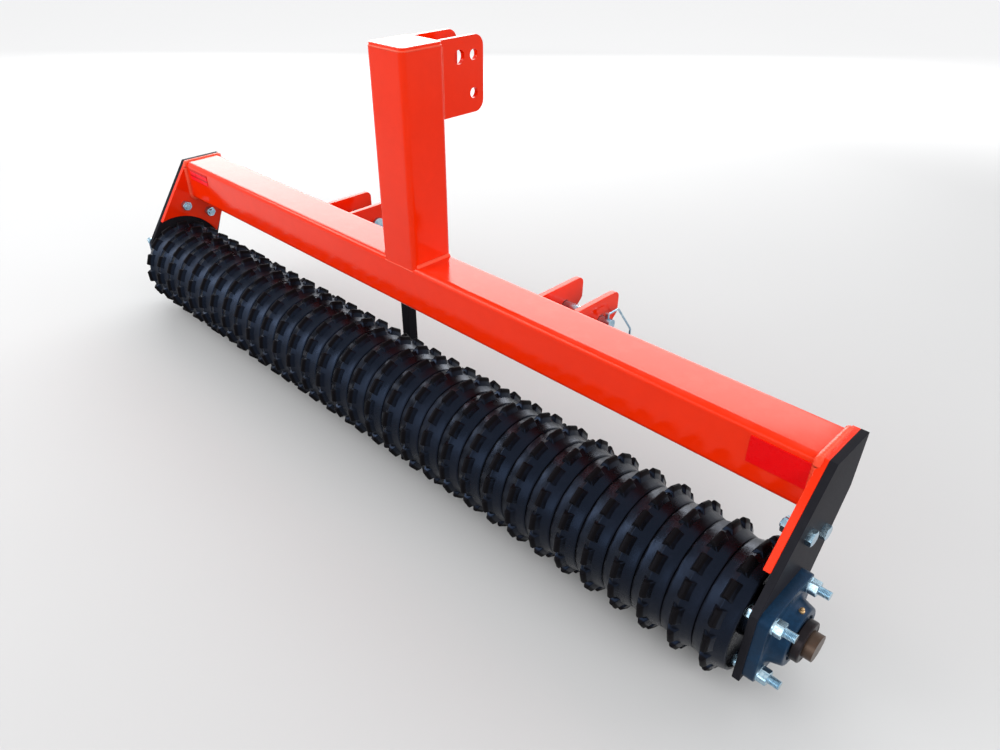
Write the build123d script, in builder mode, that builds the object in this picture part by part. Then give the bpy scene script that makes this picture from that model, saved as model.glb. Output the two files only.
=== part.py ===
"""Three-point cultipacker: a toolbar and mast on a roller of ridged cast wheels.

Millimetres. X runs along the roller, +Y points forwards to the hitch and +Z up.
The origin lies on the ground under the middle of the whole implement.
"""
from build123d import *
from math import cos, radians, sin
import os

os.makedirs("parts", exist_ok=True)

# Roller: lugged wheels side by side on one square axle
WHEEL_PITCH = 57.15
WHEEL_SEAM = 0.8
WHEEL_TIP_R = 120.65
WHEEL_RIDGE_R = 106.0
WHEEL_EDGE_R = 101.0
LUGS = 15
LUG_TIP_WIDTH = 5.5
LUG_ROOT_WIDTH = 17.0
LUG_PHASE_DEG = 2.2
# Quarter turns of each wheel on the square axle, left to right, a bank a row
QUARTER_TURNS = (
    (2, 3, 3, 3),
    (2, 0, 2, 3),
    (3, 0, 0, 1),
    (0, 1, 0, 3),
    (1, 1, 1, 0),
    (2, 2, 2, 1),
    (2, 0, 3, 0),
    (1, 1, 0, 3),
)
DISH_R = 95.3
DISH_HUB_R = 42.0
DISH_DEPTH = 12.5
AXLE_SIDE = 44.45
AXLE_BORE_PLAY = 0.4
JOURNAL_R = 22.2
JOURNAL_FIT = 0.05
ROLLER_END_GAP = 8.4

# Toolbar and the mast that stands on its middle
TUBE_SIDE = 101.6
TUBE_WALL = 6.35
TUBE_CORNER_R = 12.0
TUBE_LEAD = 116.0
TUBE_RISE = 217.4
MAST_HEIGHT = 406.4
MAST_CAP_T = 6.35
MAST_CAP_INSET = 1.5

# Top link plates on the mast's front corners
LINK_PLATE_T = 9.5
LINK_PLATE_REACH = 107.5
LINK_PLATE_HEIGHT = 139.7
LINK_PLATE_SPREAD = 82.0
LINK_PLATE_CORNER_R = 22.0
LINK_PIN_R = 9.8
LINK_WIDE_PIN_R = 12.7
LINK_PIN_EDGE = 25.4
LINK_PIN_ROW = 69.0
LINK_WIDE_PIN_BACK = 37.5
LINK_TOP_EDGE = 34.5

# Lower hitch ears, their pins and wire locks
HITCH_SPREAD = 690.0
EAR_GAP = 76.2
EAR_T = 12.7
EAR_REACH = 126.0
EAR_HEIGHT = 108.0
EAR_CORNER_R = 14.0
EAR_TOP_DROP = 6.0
PIN_R = 11.1
PIN_HOLE_PLAY = 0.4
PIN_FORWARD = 72.0
PIN_DROP = 52.0
PIN_HEAD_R = 15.9
PIN_HEAD_T = 7.0
PIN_TAIL = 26.0
LOCK_ROD_R = 4.0
LOCK_ROD_UP = 21.0
LOCK_ROD_DOWN = 27.0
LOCK_WIRE_R = 2.2
LOCK_BEND_R = 11.0
LOCK_REACH = 84.0
LOCK_TOP_SHARE = 0.4
LOCK_SHOULDER_SHARE = 0.55
LOCK_HEEL_SHARE = 0.95
LOCK_INSET = 11.0

# End plates on the toolbar and the bearing side plates outside them
END_PLATE_T = 12.7
SIDE_PLATE_T = 12.7
PLATE_BACK = 46.0
PLATE_FRONT = 58.0
PLATE_CORNER_R = 8.0
ARCH_GAP = 6.35
ARCH_REAR_DEG = 106.5
ARCH_FRONT_DEG = 25.0
PLATE_BOLT_OUT = 31.0
PLATE_BOLT_DEGS = (75.5, 49.0)

# Flange bearings
FLANGE_BOLT_SPACING = 107.95
FLANGE_EDGE = 17.5
FLANGE_T = 18.0
FLANGE_CORNER_R = 17.5
FLANGE_MARGIN = 3.0
HOUSING_R = 56.0
HOUSING_TOP_R = 49.5
HOUSING_DEPTH = 43.0
COLLAR_R = 34.5
COLLAR_T = 14.5
COLLAR_GAP = 0.5
PLATE_HOLE_R = 38.0
AXLE_END = 72.5
NIPPLE_R = 3.2
NIPPLE_HEAD_R = 4.6
NIPPLE_FIT = 0.05
NIPPLE_RISE = 9.0
NIPPLE_SINK = 8.0
NIPPLE_PLACE = 34.0

# Bolts: one size for the plates and the bearings, nuts inwards on the plates and outwards on the bearings
BOLT_R = 7.94
BOLT_HOLE_PLAY = 0.4
NUT_ACROSS = 23.8
NUT_T = 13.9
WASHER_R = 16.5
WASHER_T = 3.0
BOLT_HEAD_T = 9.9
BOLT_TAIL = 18.0
PLATE_BOLT_TAIL = 3.0

# Parking stand: a leg in a sleeve on the toolbar's front face
STAND_X = -128.0
LEG_SIDE = 25.4
SLEEVE_WALL = 4.8
SLEEVE_PLAY = 0.8
SLEEVE_HEIGHT = 96.0
SLEEVE_TOP_DROP = 38.0
LEG_ABOVE_SLEEVE = 12.0
FOOT_SIDE = 76.2
FOOT_T = 6.35
STAND_TRAVEL = 190.0
SCREW_R = 6.35
SCREW_TIP_GAP = 0.3
SCREW_NUT_ACROSS = 19.0
SCREW_NUT_T = 11.0
SCREW_LENGTH = 46.0
SCREW_BAR_R = 4.0
SCREW_BAR_LENGTH = 70.0

# Rear reflectors on the toolbar, with columns length, height, gap to the toolbar's end
REFLECTORS = {"right": (96.0, 48.0, 6.0), "left": (88.0, 27.0, 24.0)}
REFLECTOR_T = 1.6
REFLECTOR_TOP_DROP = 14.0

# Places worked out from the sizes above
wheel_count = sum(len(bank) for bank in QUARTER_TURNS)
roller_length = wheel_count * WHEEL_PITCH
side_plate_in = roller_length / 2 + ROLLER_END_GAP
side_plate_out = side_plate_in + SIDE_PLATE_T
tube_half_length = side_plate_in - END_PLATE_T
tube_half = TUBE_SIDE / 2
front_reach = TUBE_LEAD + tube_half + PIN_FORWARD + LOCK_REACH + LOCK_WIRE_R
axle_y = (WHEEL_TIP_R - front_reach) / 2
axle_z = WHEEL_TIP_R
tube_y = axle_y + TUBE_LEAD
tube_z = axle_z + TUBE_RISE
tube_top = tube_z + tube_half
tube_front = tube_y + tube_half
tube_rear = tube_y - tube_half
mast_top = tube_top + MAST_HEIGHT + MAST_CAP_T
arch_r = WHEEL_TIP_R + ARCH_GAP
bolt_hole_r = BOLT_R + BOLT_HOLE_PLAY
SIDES = (("right", 1), ("left", -1))


def finish(name, shape):
    """Label one piece and write its file."""
    shape.label = name
    export_step(shape, f"parts/{name}.step")


def around_axle(radius, degrees):
    """Point at this radius and angle about the axle, as (y, z)."""
    return (
        axle_y + radius * cos(radians(degrees)),
        axle_z + radius * sin(radians(degrees)),
    )


def square_tube(length, plane):
    """Hollow square tube with round corners, centred on the plane."""
    with BuildPart() as tube:
        with BuildSketch(plane):
            RectangleRounded(TUBE_SIDE, TUBE_SIDE, TUBE_CORNER_R)
            inner = TUBE_SIDE - 2 * TUBE_WALL
            RectangleRounded(inner, inner, TUBE_CORNER_R - TUBE_WALL, mode=Mode.SUBTRACT)
        extrude(amount=length)
    return tube.part


# Toolbar and mast
finish("toolbar_tube", square_tube(
    2 * tube_half_length,
    Plane(origin=(-tube_half_length, tube_y, tube_z), x_dir=(0, 1, 0), z_dir=(1, 0, 0)),
))
finish("mast_tube", square_tube(MAST_HEIGHT, Plane.XY.offset(tube_top).shift_origin((0, tube_y, tube_top))))

with BuildPart() as mast_cap:
    with BuildSketch(Plane.XY.offset(tube_top + MAST_HEIGHT)):
        with Locations((0, tube_y)):
            cap_side = TUBE_SIDE - 2 * MAST_CAP_INSET
            RectangleRounded(cap_side, cap_side, TUBE_CORNER_R - MAST_CAP_INSET)
    extrude(amount=MAST_CAP_T)
finish("mast_cap", mast_cap.part)

# Top link plates: one wide hole behind two pin holes
link_back = tube_front
link_front = link_back + LINK_PLATE_REACH
link_top_row = mast_top - LINK_TOP_EDGE
link_holes = (
    (link_front - LINK_PIN_EDGE, link_top_row, LINK_PIN_R),
    (link_front - LINK_PIN_EDGE, link_top_row - LINK_PIN_ROW, LINK_PIN_R),
    (link_front - LINK_PIN_EDGE - LINK_WIDE_PIN_BACK, link_top_row, LINK_WIDE_PIN_R),
)
for side, sign in SIDES:
    outer = sign * LINK_PLATE_SPREAD / 2
    with BuildPart() as link_plate:
        with BuildSketch(Plane.YZ.offset(outer)):
            with Locations((link_back, mast_top - LINK_PLATE_HEIGHT)):
                Rectangle(LINK_PLATE_REACH, LINK_PLATE_HEIGHT, align=(Align.MIN, Align.MIN))
            for y, z, radius in link_holes:
                with Locations((y, z)):
                    Circle(radius, mode=Mode.SUBTRACT)
        extrude(amount=-sign * LINK_PLATE_T)
        front_corners = link_plate.edges().filter_by(Axis.X).filter_by(GeomType.LINE).group_by(Axis.Y)[-1]
        fillet(front_corners, LINK_PLATE_CORNER_R)
    finish(f"top_link_plate_{side}", link_plate.part)

# Lower hitch ears in two pairs, each with its pin and wire lock
ear_top = tube_top - EAR_TOP_DROP
ear_low = ear_top - EAR_HEIGHT + TUBE_CORNER_R
ear_tip = tube_front + EAR_REACH
pin_y = tube_front + PIN_FORWARD
pin_z = tube_top - PIN_DROP
for side, sign in SIDES:
    for place, middle in (("inner", HITCH_SPREAD / 2 - EAR_GAP / 2), ("outer", HITCH_SPREAD / 2 + EAR_GAP / 2)):
        away = -1 if place == "inner" else 1
        with BuildPart() as ear:
            with BuildSketch(Plane.YZ.offset(sign * middle)):
                with BuildLine():
                    Polyline(
                        (tube_front, ear_top),
                        (ear_tip, ear_top),
                        (ear_tip, pin_z),
                        (ear_tip - PIN_DROP, ear_low),
                        (tube_front, ear_low),
                        close=True,
                    )
                make_face()
                with Locations((pin_y, pin_z)):
                    Circle(PIN_R + PIN_HOLE_PLAY, mode=Mode.SUBTRACT)
            extrude(amount=sign * away * EAR_T)
            tip = ear.edges().filter_by(Axis.X).group_by(Axis.Y)[-1]
            fillet(tip, EAR_CORNER_R)
        finish(f"hitch_ear_{side}_{place}", ear.part)

    head_x = sign * (HITCH_SPREAD / 2 - EAR_GAP / 2 - EAR_T)
    pin_length = EAR_GAP + 2 * EAR_T + PIN_TAIL
    with BuildPart() as hitch_pin:
        with BuildSketch(Plane.YZ.offset(head_x)):
            with Locations((pin_y, pin_z)):
                Circle(PIN_R)
        extrude(amount=sign * pin_length)
        with BuildSketch(Plane.YZ.offset(head_x)):
            with Locations((pin_y, pin_z)):
                Circle(PIN_HEAD_R)
        extrude(amount=-sign * PIN_HEAD_T)
        lock_x = head_x + sign * (pin_length - LOCK_INSET)
        with BuildSketch(Plane.XY.offset(pin_z - PIN_HEAD_R)):
            with Locations((lock_x, pin_y)):
                Circle(LOCK_ROD_R + PIN_HOLE_PLAY)
        extrude(amount=2 * PIN_HEAD_R, mode=Mode.SUBTRACT)
    finish(f"hitch_pin_{side}", hitch_pin.part)

    with BuildPart() as wire_lock:
        with BuildSketch(Plane.XY.offset(pin_z - LOCK_ROD_DOWN)):
            with Locations((lock_x, pin_y)):
                Circle(LOCK_ROD_R)
        extrude(amount=LOCK_ROD_UP + LOCK_ROD_DOWN)
        with BuildLine() as loop_line:
            loop = [
                (0.0, LOCK_ROD_UP - LOCK_WIRE_R),
                (LOCK_TOP_SHARE * LOCK_REACH, LOCK_ROD_UP - LOCK_WIRE_R),
                (LOCK_REACH, -LOCK_SHOULDER_SHARE * LOCK_REACH),
                (LOCK_REACH, -LOCK_HEEL_SHARE * LOCK_REACH),
                (0.0, LOCK_WIRE_R - LOCK_ROD_DOWN),
            ]
            FilletPolyline(*[(lock_x, pin_y + y, pin_z + z) for y, z in loop], radius=LOCK_BEND_R)
        with BuildSketch(Plane(origin=loop_line.line @ 0, z_dir=loop_line.line % 0)):
            Circle(LOCK_WIRE_R)
        sweep(path=loop_line.line)
    finish(f"wire_lock_{side}", wire_lock.part)

# End plates welded to the toolbar, arched over the roller, and the plates that carry the bearings
top_rear = (tube_y - PLATE_BACK, tube_top)
top_front = (tube_y + PLATE_FRONT, tube_top)
tube_low_front = (tube_y + PLATE_FRONT, tube_z - tube_half)
flange_side = FLANGE_BOLT_SPACING + 2 * FLANGE_EDGE
flange_reach = flange_side / 2 + FLANGE_MARGIN
arch_rear = around_axle(arch_r, ARCH_REAR_DEG)
arch_front = around_axle(arch_r, ARCH_FRONT_DEG)
arch_crown = around_axle(arch_r, (ARCH_REAR_DEG + ARCH_FRONT_DEG) / 2)
rear_slope = (top_rear[0] - arch_rear[0]) / (top_rear[1] - arch_rear[1])
rear_knee_z = top_rear[1] - (top_rear[0] - (axle_y - flange_reach)) / rear_slope
plate_bolts = [around_axle(arch_r + PLATE_BOLT_OUT, angle) for angle in PLATE_BOLT_DEGS]
half_bolts = FLANGE_BOLT_SPACING / 2
flange_bolts = [(axle_y + i * half_bolts, axle_z + j * half_bolts) for i in (-1, 1) for j in (-1, 1)]

for side, sign in SIDES:
    with BuildPart() as end_plate:
        with BuildSketch(Plane.YZ.offset(sign * tube_half_length)):
            with BuildLine():
                Polyline(arch_rear, top_rear, top_front, tube_low_front, arch_front)
                ThreePointArc(arch_front, arch_crown, arch_rear)
            make_face()
            with Locations(*plate_bolts):
                Circle(bolt_hole_r, mode=Mode.SUBTRACT)
        extrude(amount=sign * END_PLATE_T)
    finish(f"end_plate_{side}", end_plate.part)

    with BuildPart() as side_plate:
        with BuildSketch(Plane.YZ.offset(sign * side_plate_in)):
            with BuildLine():
                Polyline(
                    top_rear,
                    top_front,
                    tube_low_front,
                    (axle_y + flange_reach, axle_z - flange_reach),
                    (axle_y - flange_reach, axle_z - flange_reach),
                    (axle_y - flange_reach, rear_knee_z),
                    close=True,
                )
            make_face()
            with Locations(*plate_bolts, *flange_bolts):
                Circle(bolt_hole_r, mode=Mode.SUBTRACT)
            with Locations((axle_y, axle_z)):
                Circle(PLATE_HOLE_R, mode=Mode.SUBTRACT)
        extrude(amount=sign * SIDE_PLATE_T)
    finish(f"side_plate_{side}", side_plate.part)

    nipple_x = side_plate_out + NIPPLE_PLACE
    nipple_z = axle_z + HOUSING_TOP_R
    with BuildPart() as bearing:
        with BuildSketch(Plane.YZ.offset(sign * side_plate_out)):
            with Locations((axle_y, axle_z)):
                RectangleRounded(flange_side, flange_side, FLANGE_CORNER_R)
            with Locations(*flange_bolts):
                Circle(bolt_hole_r, mode=Mode.SUBTRACT)
        extrude(amount=sign * FLANGE_T)
        with BuildSketch(Plane.XZ.offset(-axle_y)):
            with BuildLine():
                Polyline(
                    (sign * side_plate_out, axle_z),
                    (sign * side_plate_out, axle_z + HOUSING_R),
                    (sign * (side_plate_out + FLANGE_T), axle_z + HOUSING_R),
                    (sign * (side_plate_out + HOUSING_DEPTH), axle_z + HOUSING_TOP_R),
                    (sign * (side_plate_out + HOUSING_DEPTH), axle_z),
                    close=True,
                )
            make_face()
        revolve(axis=Axis((0, axle_y, axle_z), (1, 0, 0)))
        with BuildSketch(Plane.YZ.offset(sign * side_plate_out)):
            with Locations((axle_y, axle_z)):
                Circle(JOURNAL_R + JOURNAL_FIT)
        extrude(amount=sign * HOUSING_DEPTH, mode=Mode.SUBTRACT)
        with BuildSketch(Plane.XY.offset(nipple_z - NIPPLE_SINK)):
            with Locations((sign * nipple_x, axle_y)):
                Circle(NIPPLE_R + NIPPLE_FIT)
        extrude(amount=NIPPLE_SINK + NIPPLE_RISE, mode=Mode.SUBTRACT)
    finish(f"flange_bearing_{side}", bearing.part)

    with BuildPart() as nipple:
        with BuildSketch(Plane.XY.offset(nipple_z - NIPPLE_SINK)):
            with Locations((sign * nipple_x, axle_y)):
                Circle(NIPPLE_R)
        extrude(amount=NIPPLE_SINK + NIPPLE_RISE)
        with BuildSketch(Plane.XY.offset(nipple_z + NIPPLE_RISE / 2)):
            with Locations((sign * nipple_x, axle_y)):
                Circle(NIPPLE_HEAD_R)
        extrude(amount=NIPPLE_RISE / 2)
    finish(f"grease_nipple_{side}", nipple.part)

    bearing_seat = side_plate_out + FLANGE_T
    with BuildPart() as bearing_bolts:
        with BuildSketch(Plane.YZ.offset(sign * (side_plate_in - BOLT_HEAD_T))):
            with Locations(*flange_bolts):
                RegularPolygon(NUT_ACROSS / 2, 6, major_radius=False)
        extrude(amount=sign * BOLT_HEAD_T)
        with BuildSketch(Plane.YZ.offset(sign * side_plate_in)):
            with Locations(*flange_bolts):
                Circle(BOLT_R)
        extrude(amount=sign * (SIDE_PLATE_T + FLANGE_T + WASHER_T + NUT_T + BOLT_TAIL))
        with BuildSketch(Plane.YZ.offset(sign * bearing_seat)):
            with Locations(*flange_bolts):
                Circle(WASHER_R)
        extrude(amount=sign * WASHER_T)
        with BuildSketch(Plane.YZ.offset(sign * (bearing_seat + WASHER_T))):
            with Locations(*flange_bolts):
                RegularPolygon(NUT_ACROSS / 2, 6, major_radius=False)
        extrude(amount=sign * NUT_T)
    finish(f"bearing_bolts_{side}", bearing_bolts.part)

    with BuildPart() as plate_bolt_set:
        with BuildSketch(Plane.YZ.offset(sign * side_plate_out)):
            with Locations(*plate_bolts):
                RegularPolygon(NUT_ACROSS / 2, 6, major_radius=False)
        extrude(amount=sign * BOLT_HEAD_T)
        with BuildSketch(Plane.YZ.offset(sign * side_plate_out)):
            with Locations(*plate_bolts):
                Circle(BOLT_R)
        extrude(amount=-sign * (SIDE_PLATE_T + END_PLATE_T + NUT_T + PLATE_BOLT_TAIL))
        with BuildSketch(Plane.YZ.offset(sign * tube_half_length)):
            with Locations(*plate_bolts):
                RegularPolygon(NUT_ACROSS / 2, 6, major_radius=False)
        extrude(amount=-sign * NUT_T)
    finish(f"plate_bolts_{side}", plate_bolt_set.part)

    collar_in = side_plate_out + HOUSING_DEPTH + COLLAR_GAP
    with BuildPart() as collar:
        with BuildSketch(Plane.YZ.offset(sign * collar_in)):
            with Locations((axle_y, axle_z)):
                Circle(COLLAR_R)
                Circle(JOURNAL_R, mode=Mode.SUBTRACT)
        extrude(amount=sign * COLLAR_T)
    finish(f"locking_collar_{side}", collar.part)

# Axle: square through the wheels and round in the bearings
with BuildPart() as axle:
    with BuildSketch(Plane.YZ.offset(-roller_length / 2)):
        with Locations((axle_y, axle_z)):
            Rectangle(AXLE_SIDE, AXLE_SIDE, rotation=LUG_PHASE_DEG)
    extrude(amount=roller_length)
    with BuildSketch(Plane.YZ.offset(-side_plate_out - AXLE_END)):
        with Locations((axle_y, axle_z)):
            Circle(JOURNAL_R)
    extrude(amount=2 * (side_plate_out + AXLE_END))
finish("roller_axle", axle.part)

# Wheels: a ring of flat facets ridged at the middle, every other facet carrying a lug across the ridge
wheel_half = (WHEEL_PITCH - WHEEL_SEAM) / 2
facet_deg = 180 / LUGS
to_flat = cos(radians(facet_deg / 2))
core_z = AXLE_SIDE / 4
edge_z = WHEEL_EDGE_R * to_flat
ridge_z = WHEEL_RIDGE_R * to_flat
tip_z = WHEEL_TIP_R * to_flat
root_z = ridge_z - (ridge_z - edge_z) * LUG_ROOT_WIDTH / 2 / wheel_half


def wheel_facet(crest):
    """One facet's sector of a wheel, under this crest line given as (x, radius) points."""
    with BuildPart() as sector:
        with BuildSketch(Plane.XZ):
            with BuildLine():
                Polyline(
                    (-wheel_half, core_z),
                    (-wheel_half, edge_z),
                    *crest,
                    (wheel_half, edge_z),
                    (wheel_half, core_z),
                    close=True,
                )
            make_face()
        extrude(amount=tip_z / 2, both=True)
        with BuildSketch(Plane.YZ.offset(-wheel_half)):
            with BuildLine():
                reach = 2 * WHEEL_TIP_R
                side_y = reach * sin(radians(facet_deg / 2))
                Polyline((0, 0), (-side_y, reach * to_flat), (side_y, reach * to_flat), close=True)
            make_face()
        extrude(amount=2 * wheel_half, mode=Mode.INTERSECT)
    return sector.part


lug_crest = (
    (-LUG_ROOT_WIDTH / 2, root_z),
    (-LUG_TIP_WIDTH / 2, tip_z),
    (LUG_TIP_WIDTH / 2, tip_z),
    (LUG_ROOT_WIDTH / 2, root_z),
)
lug_facet = wheel_facet(lug_crest)
gap_facet = wheel_facet(((0, ridge_z),)).rotate(Axis.X, facet_deg)
with BuildPart() as wheel:
    for step in range(LUGS):
        add(lug_facet.rotate(Axis.X, 2 * facet_deg * step))
        add(gap_facet.rotate(Axis.X, 2 * facet_deg * step))
    bore_side = AXLE_SIDE + 2 * AXLE_BORE_PLAY
    Box(WHEEL_PITCH, bore_side, bore_side, mode=Mode.SUBTRACT)

with BuildPart() as dish:
    with BuildSketch(Plane.YZ.offset(wheel_half - DISH_DEPTH)):
        RegularPolygon(DISH_R, 2 * LUGS, major_radius=False, rotation=90 - facet_deg / 2)
        Circle(DISH_HUB_R, mode=Mode.SUBTRACT)
    extrude(amount=DISH_DEPTH)

for bank, turns in enumerate(QUARTER_TURNS):
    with BuildPart() as wheel_bank:
        for place, quarter in enumerate(turns):
            index = bank * len(turns) + place
            x = (index + 0.5) * WHEEL_PITCH - roller_length / 2
            turned = wheel.part.rotate(Axis.X, LUG_PHASE_DEG - 90 + 90 * quarter)
            add(turned.moved(Location((x, axle_y, axle_z))))
            if index == 0:
                add(dish.part.rotate(Axis.Z, 180).moved(Location((x, axle_y, axle_z))), mode=Mode.SUBTRACT)
            if index == wheel_count - 1:
                add(dish.part.moved(Location((x, axle_y, axle_z))), mode=Mode.SUBTRACT)
    finish(f"roller_wheels_{bank + 1}", wheel_bank.part)

# Parking stand
sleeve_inner = LEG_SIDE + 2 * SLEEVE_PLAY
sleeve_side = sleeve_inner + 2 * SLEEVE_WALL
stand_y = tube_front + sleeve_side / 2
sleeve_top = tube_top - SLEEVE_TOP_DROP
sleeve_low = sleeve_top - SLEEVE_HEIGHT
with BuildPart() as sleeve:
    with BuildSketch(Plane.XY.offset(sleeve_low)):
        with Locations((STAND_X, stand_y)):
            Rectangle(sleeve_side, sleeve_side)
            Rectangle(sleeve_inner, sleeve_inner, mode=Mode.SUBTRACT)
    extrude(amount=SLEEVE_HEIGHT)
    with BuildSketch(Plane.XZ.offset(-stand_y)):
        with Locations((STAND_X, sleeve_top - SLEEVE_HEIGHT / 2)):
            Circle(SCREW_R)
    extrude(amount=-sleeve_side, mode=Mode.SUBTRACT)
finish("stand_sleeve", sleeve.part)

with BuildPart() as leg:
    with BuildSketch(Plane.XY.offset(FOOT_T)):
        with Locations((STAND_X, stand_y)):
            Rectangle(LEG_SIDE, LEG_SIDE)
    extrude(amount=sleeve_top + LEG_ABOVE_SLEEVE - FOOT_T)
finish("stand_leg", leg.part)

screw_tip = stand_y + LEG_SIDE / 2 + SCREW_TIP_GAP
screw_z = sleeve_top - SLEEVE_HEIGHT / 2
with BuildPart() as clamp_screw:
    with BuildSketch(Plane.XZ.offset(-screw_tip)):
        with Locations((STAND_X, screw_z)):
            Circle(SCREW_R)
    extrude(amount=-SCREW_LENGTH)
    with BuildSketch(Plane.XZ.offset(-stand_y - sleeve_side / 2)):
        with Locations((STAND_X, screw_z)):
            RegularPolygon(SCREW_NUT_ACROSS / 2, 6, major_radius=False)
    extrude(amount=-SCREW_NUT_T)
    with BuildSketch(Plane.YZ.offset(STAND_X - SCREW_BAR_LENGTH / 2)):
        with Locations((screw_tip + SCREW_LENGTH - SCREW_R, screw_z)):
            Circle(SCREW_BAR_R)
    extrude(amount=SCREW_BAR_LENGTH)
finish("clamp_screw", clamp_screw.part)

with BuildPart() as foot:
    with BuildSketch(Plane.XY):
        with Locations((STAND_X, stand_y)):
            RectangleRounded(FOOT_SIDE, FOOT_SIDE, PLATE_CORNER_R)
    extrude(amount=FOOT_T)
finish("stand_foot", foot.part)

# Reflectors on the toolbar's rear face
for side, sign in SIDES:
    length, height, end_gap = REFLECTORS[side]
    middle_x = sign * (tube_half_length - end_gap - length / 2)
    with BuildPart() as reflector:
        with BuildSketch(Plane.XZ.offset(-tube_rear)):
            with Locations((middle_x, tube_top - REFLECTOR_TOP_DROP - height / 2)):
                Rectangle(length, height)
        extrude(amount=REFLECTOR_T)
    finish(f"reflector_{side}", reflector.part)
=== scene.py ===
"""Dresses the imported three-point cultipacker: castings, welds, fasteners, finishes, light and camera."""

import logging
import math
import random
from dataclasses import dataclass
from enum import Enum
from typing import Iterable, Sequence

import bmesh
import bpy
from mathutils import Matrix, Vector


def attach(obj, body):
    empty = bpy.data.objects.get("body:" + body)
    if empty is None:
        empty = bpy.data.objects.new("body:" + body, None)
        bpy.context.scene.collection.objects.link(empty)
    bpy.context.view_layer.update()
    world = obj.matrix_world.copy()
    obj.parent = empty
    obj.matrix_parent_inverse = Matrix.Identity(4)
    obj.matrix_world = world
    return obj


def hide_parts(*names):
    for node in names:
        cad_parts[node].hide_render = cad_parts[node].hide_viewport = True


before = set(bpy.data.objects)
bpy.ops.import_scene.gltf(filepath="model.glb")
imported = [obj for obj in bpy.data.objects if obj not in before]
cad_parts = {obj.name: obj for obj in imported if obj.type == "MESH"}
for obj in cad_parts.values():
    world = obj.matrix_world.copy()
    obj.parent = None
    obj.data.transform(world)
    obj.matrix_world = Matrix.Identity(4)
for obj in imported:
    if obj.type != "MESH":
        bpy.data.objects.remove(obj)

LOG = logging.getLogger("cultipacker")
Point = tuple[float, float, float]
Colour = tuple[float, float, float]
Span = tuple[float, float]

MM = 0.001  # a millimetre in metres
AXLE_Y, AXLE_Z = -102.175, 120.65  # the roller's axle, in millimetres
ALONG = 0.99  # the least share of a unit direction that counts as along an axis
SPUN_JOIN = 1e-6  # metres within which a spun shape's vertices are one
CORNER_PARTS = 4  # straight parts in a bead's way round a quarter turn
UPRIGHT = Matrix.Rotation(math.radians(-90), 4, "Y")  # turns +X up


class Body(Enum):
    """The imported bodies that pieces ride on."""

    FRAME = "frame"
    ROLLER = "roller"
    STAND = "stand"


class Slot(Enum):
    """The record's material slots."""

    ORANGE = "orange_paint"
    BLACK = "black_paint"
    ROLLER = "roller_black"
    BEARING = "bearing_blue_black"
    ZINC = "zinc"
    STEEL = "bare_steel"
    BRASS = "brass"
    RED = "red_reflector"


class Look(Enum):
    """The finishes, each with the record's slot for it."""

    ORANGE = ("orange", Slot.ORANGE)
    WELD = ("weld", Slot.ORANGE)
    BLACK = ("black", Slot.BLACK)
    ROLLER = ("roller", Slot.ROLLER)
    BEARING = ("bearing", Slot.BEARING)
    ZINC = ("zinc", Slot.ZINC)
    SHAFT = ("shaft", Slot.STEEL)
    COLLAR = ("collar", Slot.STEEL)
    BRASS = ("brass", Slot.BRASS)
    RED = ("red", Slot.RED)
    BARRED = ("barred", Slot.RED)

    @property
    def slot(self) -> Slot:
        """The record's slot."""
        return self.value[1]


class Side(Enum):
    """The two ends of the implement, with the sign of X there."""

    RIGHT = ("right", 1)
    LEFT = ("left", -1)

    @property
    def word(self) -> str:
        """The side's name in node names."""
        return self.value[0]

    @property
    def sign(self) -> int:
        """1 on the right and -1 on the left."""
        return self.value[1]


def linear(code: str) -> Colour:
    """Turns a written colour such as "E8380F" into linear light, by the sRGB curve.

    Args:
        code: Six hexadecimal digits.

    Returns:
        The three linear channels.
    """
    parts = [int(code[i:i + 2], 16) / 255 for i in (0, 2, 4)]
    return tuple(c / 12.92 if c <= 0.04045 else ((c + 0.055) / 1.055) ** 2.4 for c in parts)


@dataclass(frozen=True)
class Grain:
    """A noise pattern on Object coordinates, its scale per metre."""

    scale: float
    detail: float
    rough: float
    stretch: Point = (1.0, 1.0, 1.0)


class Signal:
    """One shader socket whose arithmetic adds Math nodes."""

    def __init__(self, shader: "Shader", socket: bpy.types.NodeSocket) -> None:
        """Wraps a socket of the shader's node tree."""
        self.shader = shader
        self.socket = socket

    def math(self, operation: str, *others: "Signal | float", first: bool = True) -> "Signal":
        """Adds a Math node.

        Args:
            operation: The Math node's operation.
            others: The other operands.
            first: Whether this signal is the first operand.

        Returns:
            The node's result.
        """
        operands = dict(enumerate([self, *others] if first else [*others, self]))
        made = self.shader.node("ShaderNodeMath", {"operation": operation}, operands)
        return Signal(self.shader, made.outputs[0])

    def __add__(self, other: "Signal | float") -> "Signal":
        """Sum."""
        return self.math("ADD", other)

    def __radd__(self, other: float) -> "Signal":
        """Sum with a number first."""
        return self.math("ADD", other)

    def __sub__(self, other: "Signal | float") -> "Signal":
        """Difference."""
        return self.math("SUBTRACT", other)

    def __rsub__(self, other: float) -> "Signal":
        """Difference from a number."""
        return self.math("SUBTRACT", other, first=False)

    def __mul__(self, other: "Signal | float") -> "Signal":
        """Product."""
        return self.math("MULTIPLY", other)

    def __rmul__(self, other: float) -> "Signal":
        """Product with a number first."""
        return self.math("MULTIPLY", other)

    def blend(self, other: "Signal", share: float) -> "Signal":
        """This share of the signal, and the rest of another."""
        return self * share + other * (1 - share)

    def above(self, low: float, high: float) -> "Signal":
        """Eases from 0 at low to 1 at high."""
        made = self.shader.node(
            "ShaderNodeMapRange", {"interpolation_type": "SMOOTHSTEP"},
            {0: self, 1: low, 2: high, 3: 0.0, 4: 1.0},
        )
        return Signal(self.shader, made.outputs[0])


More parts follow.
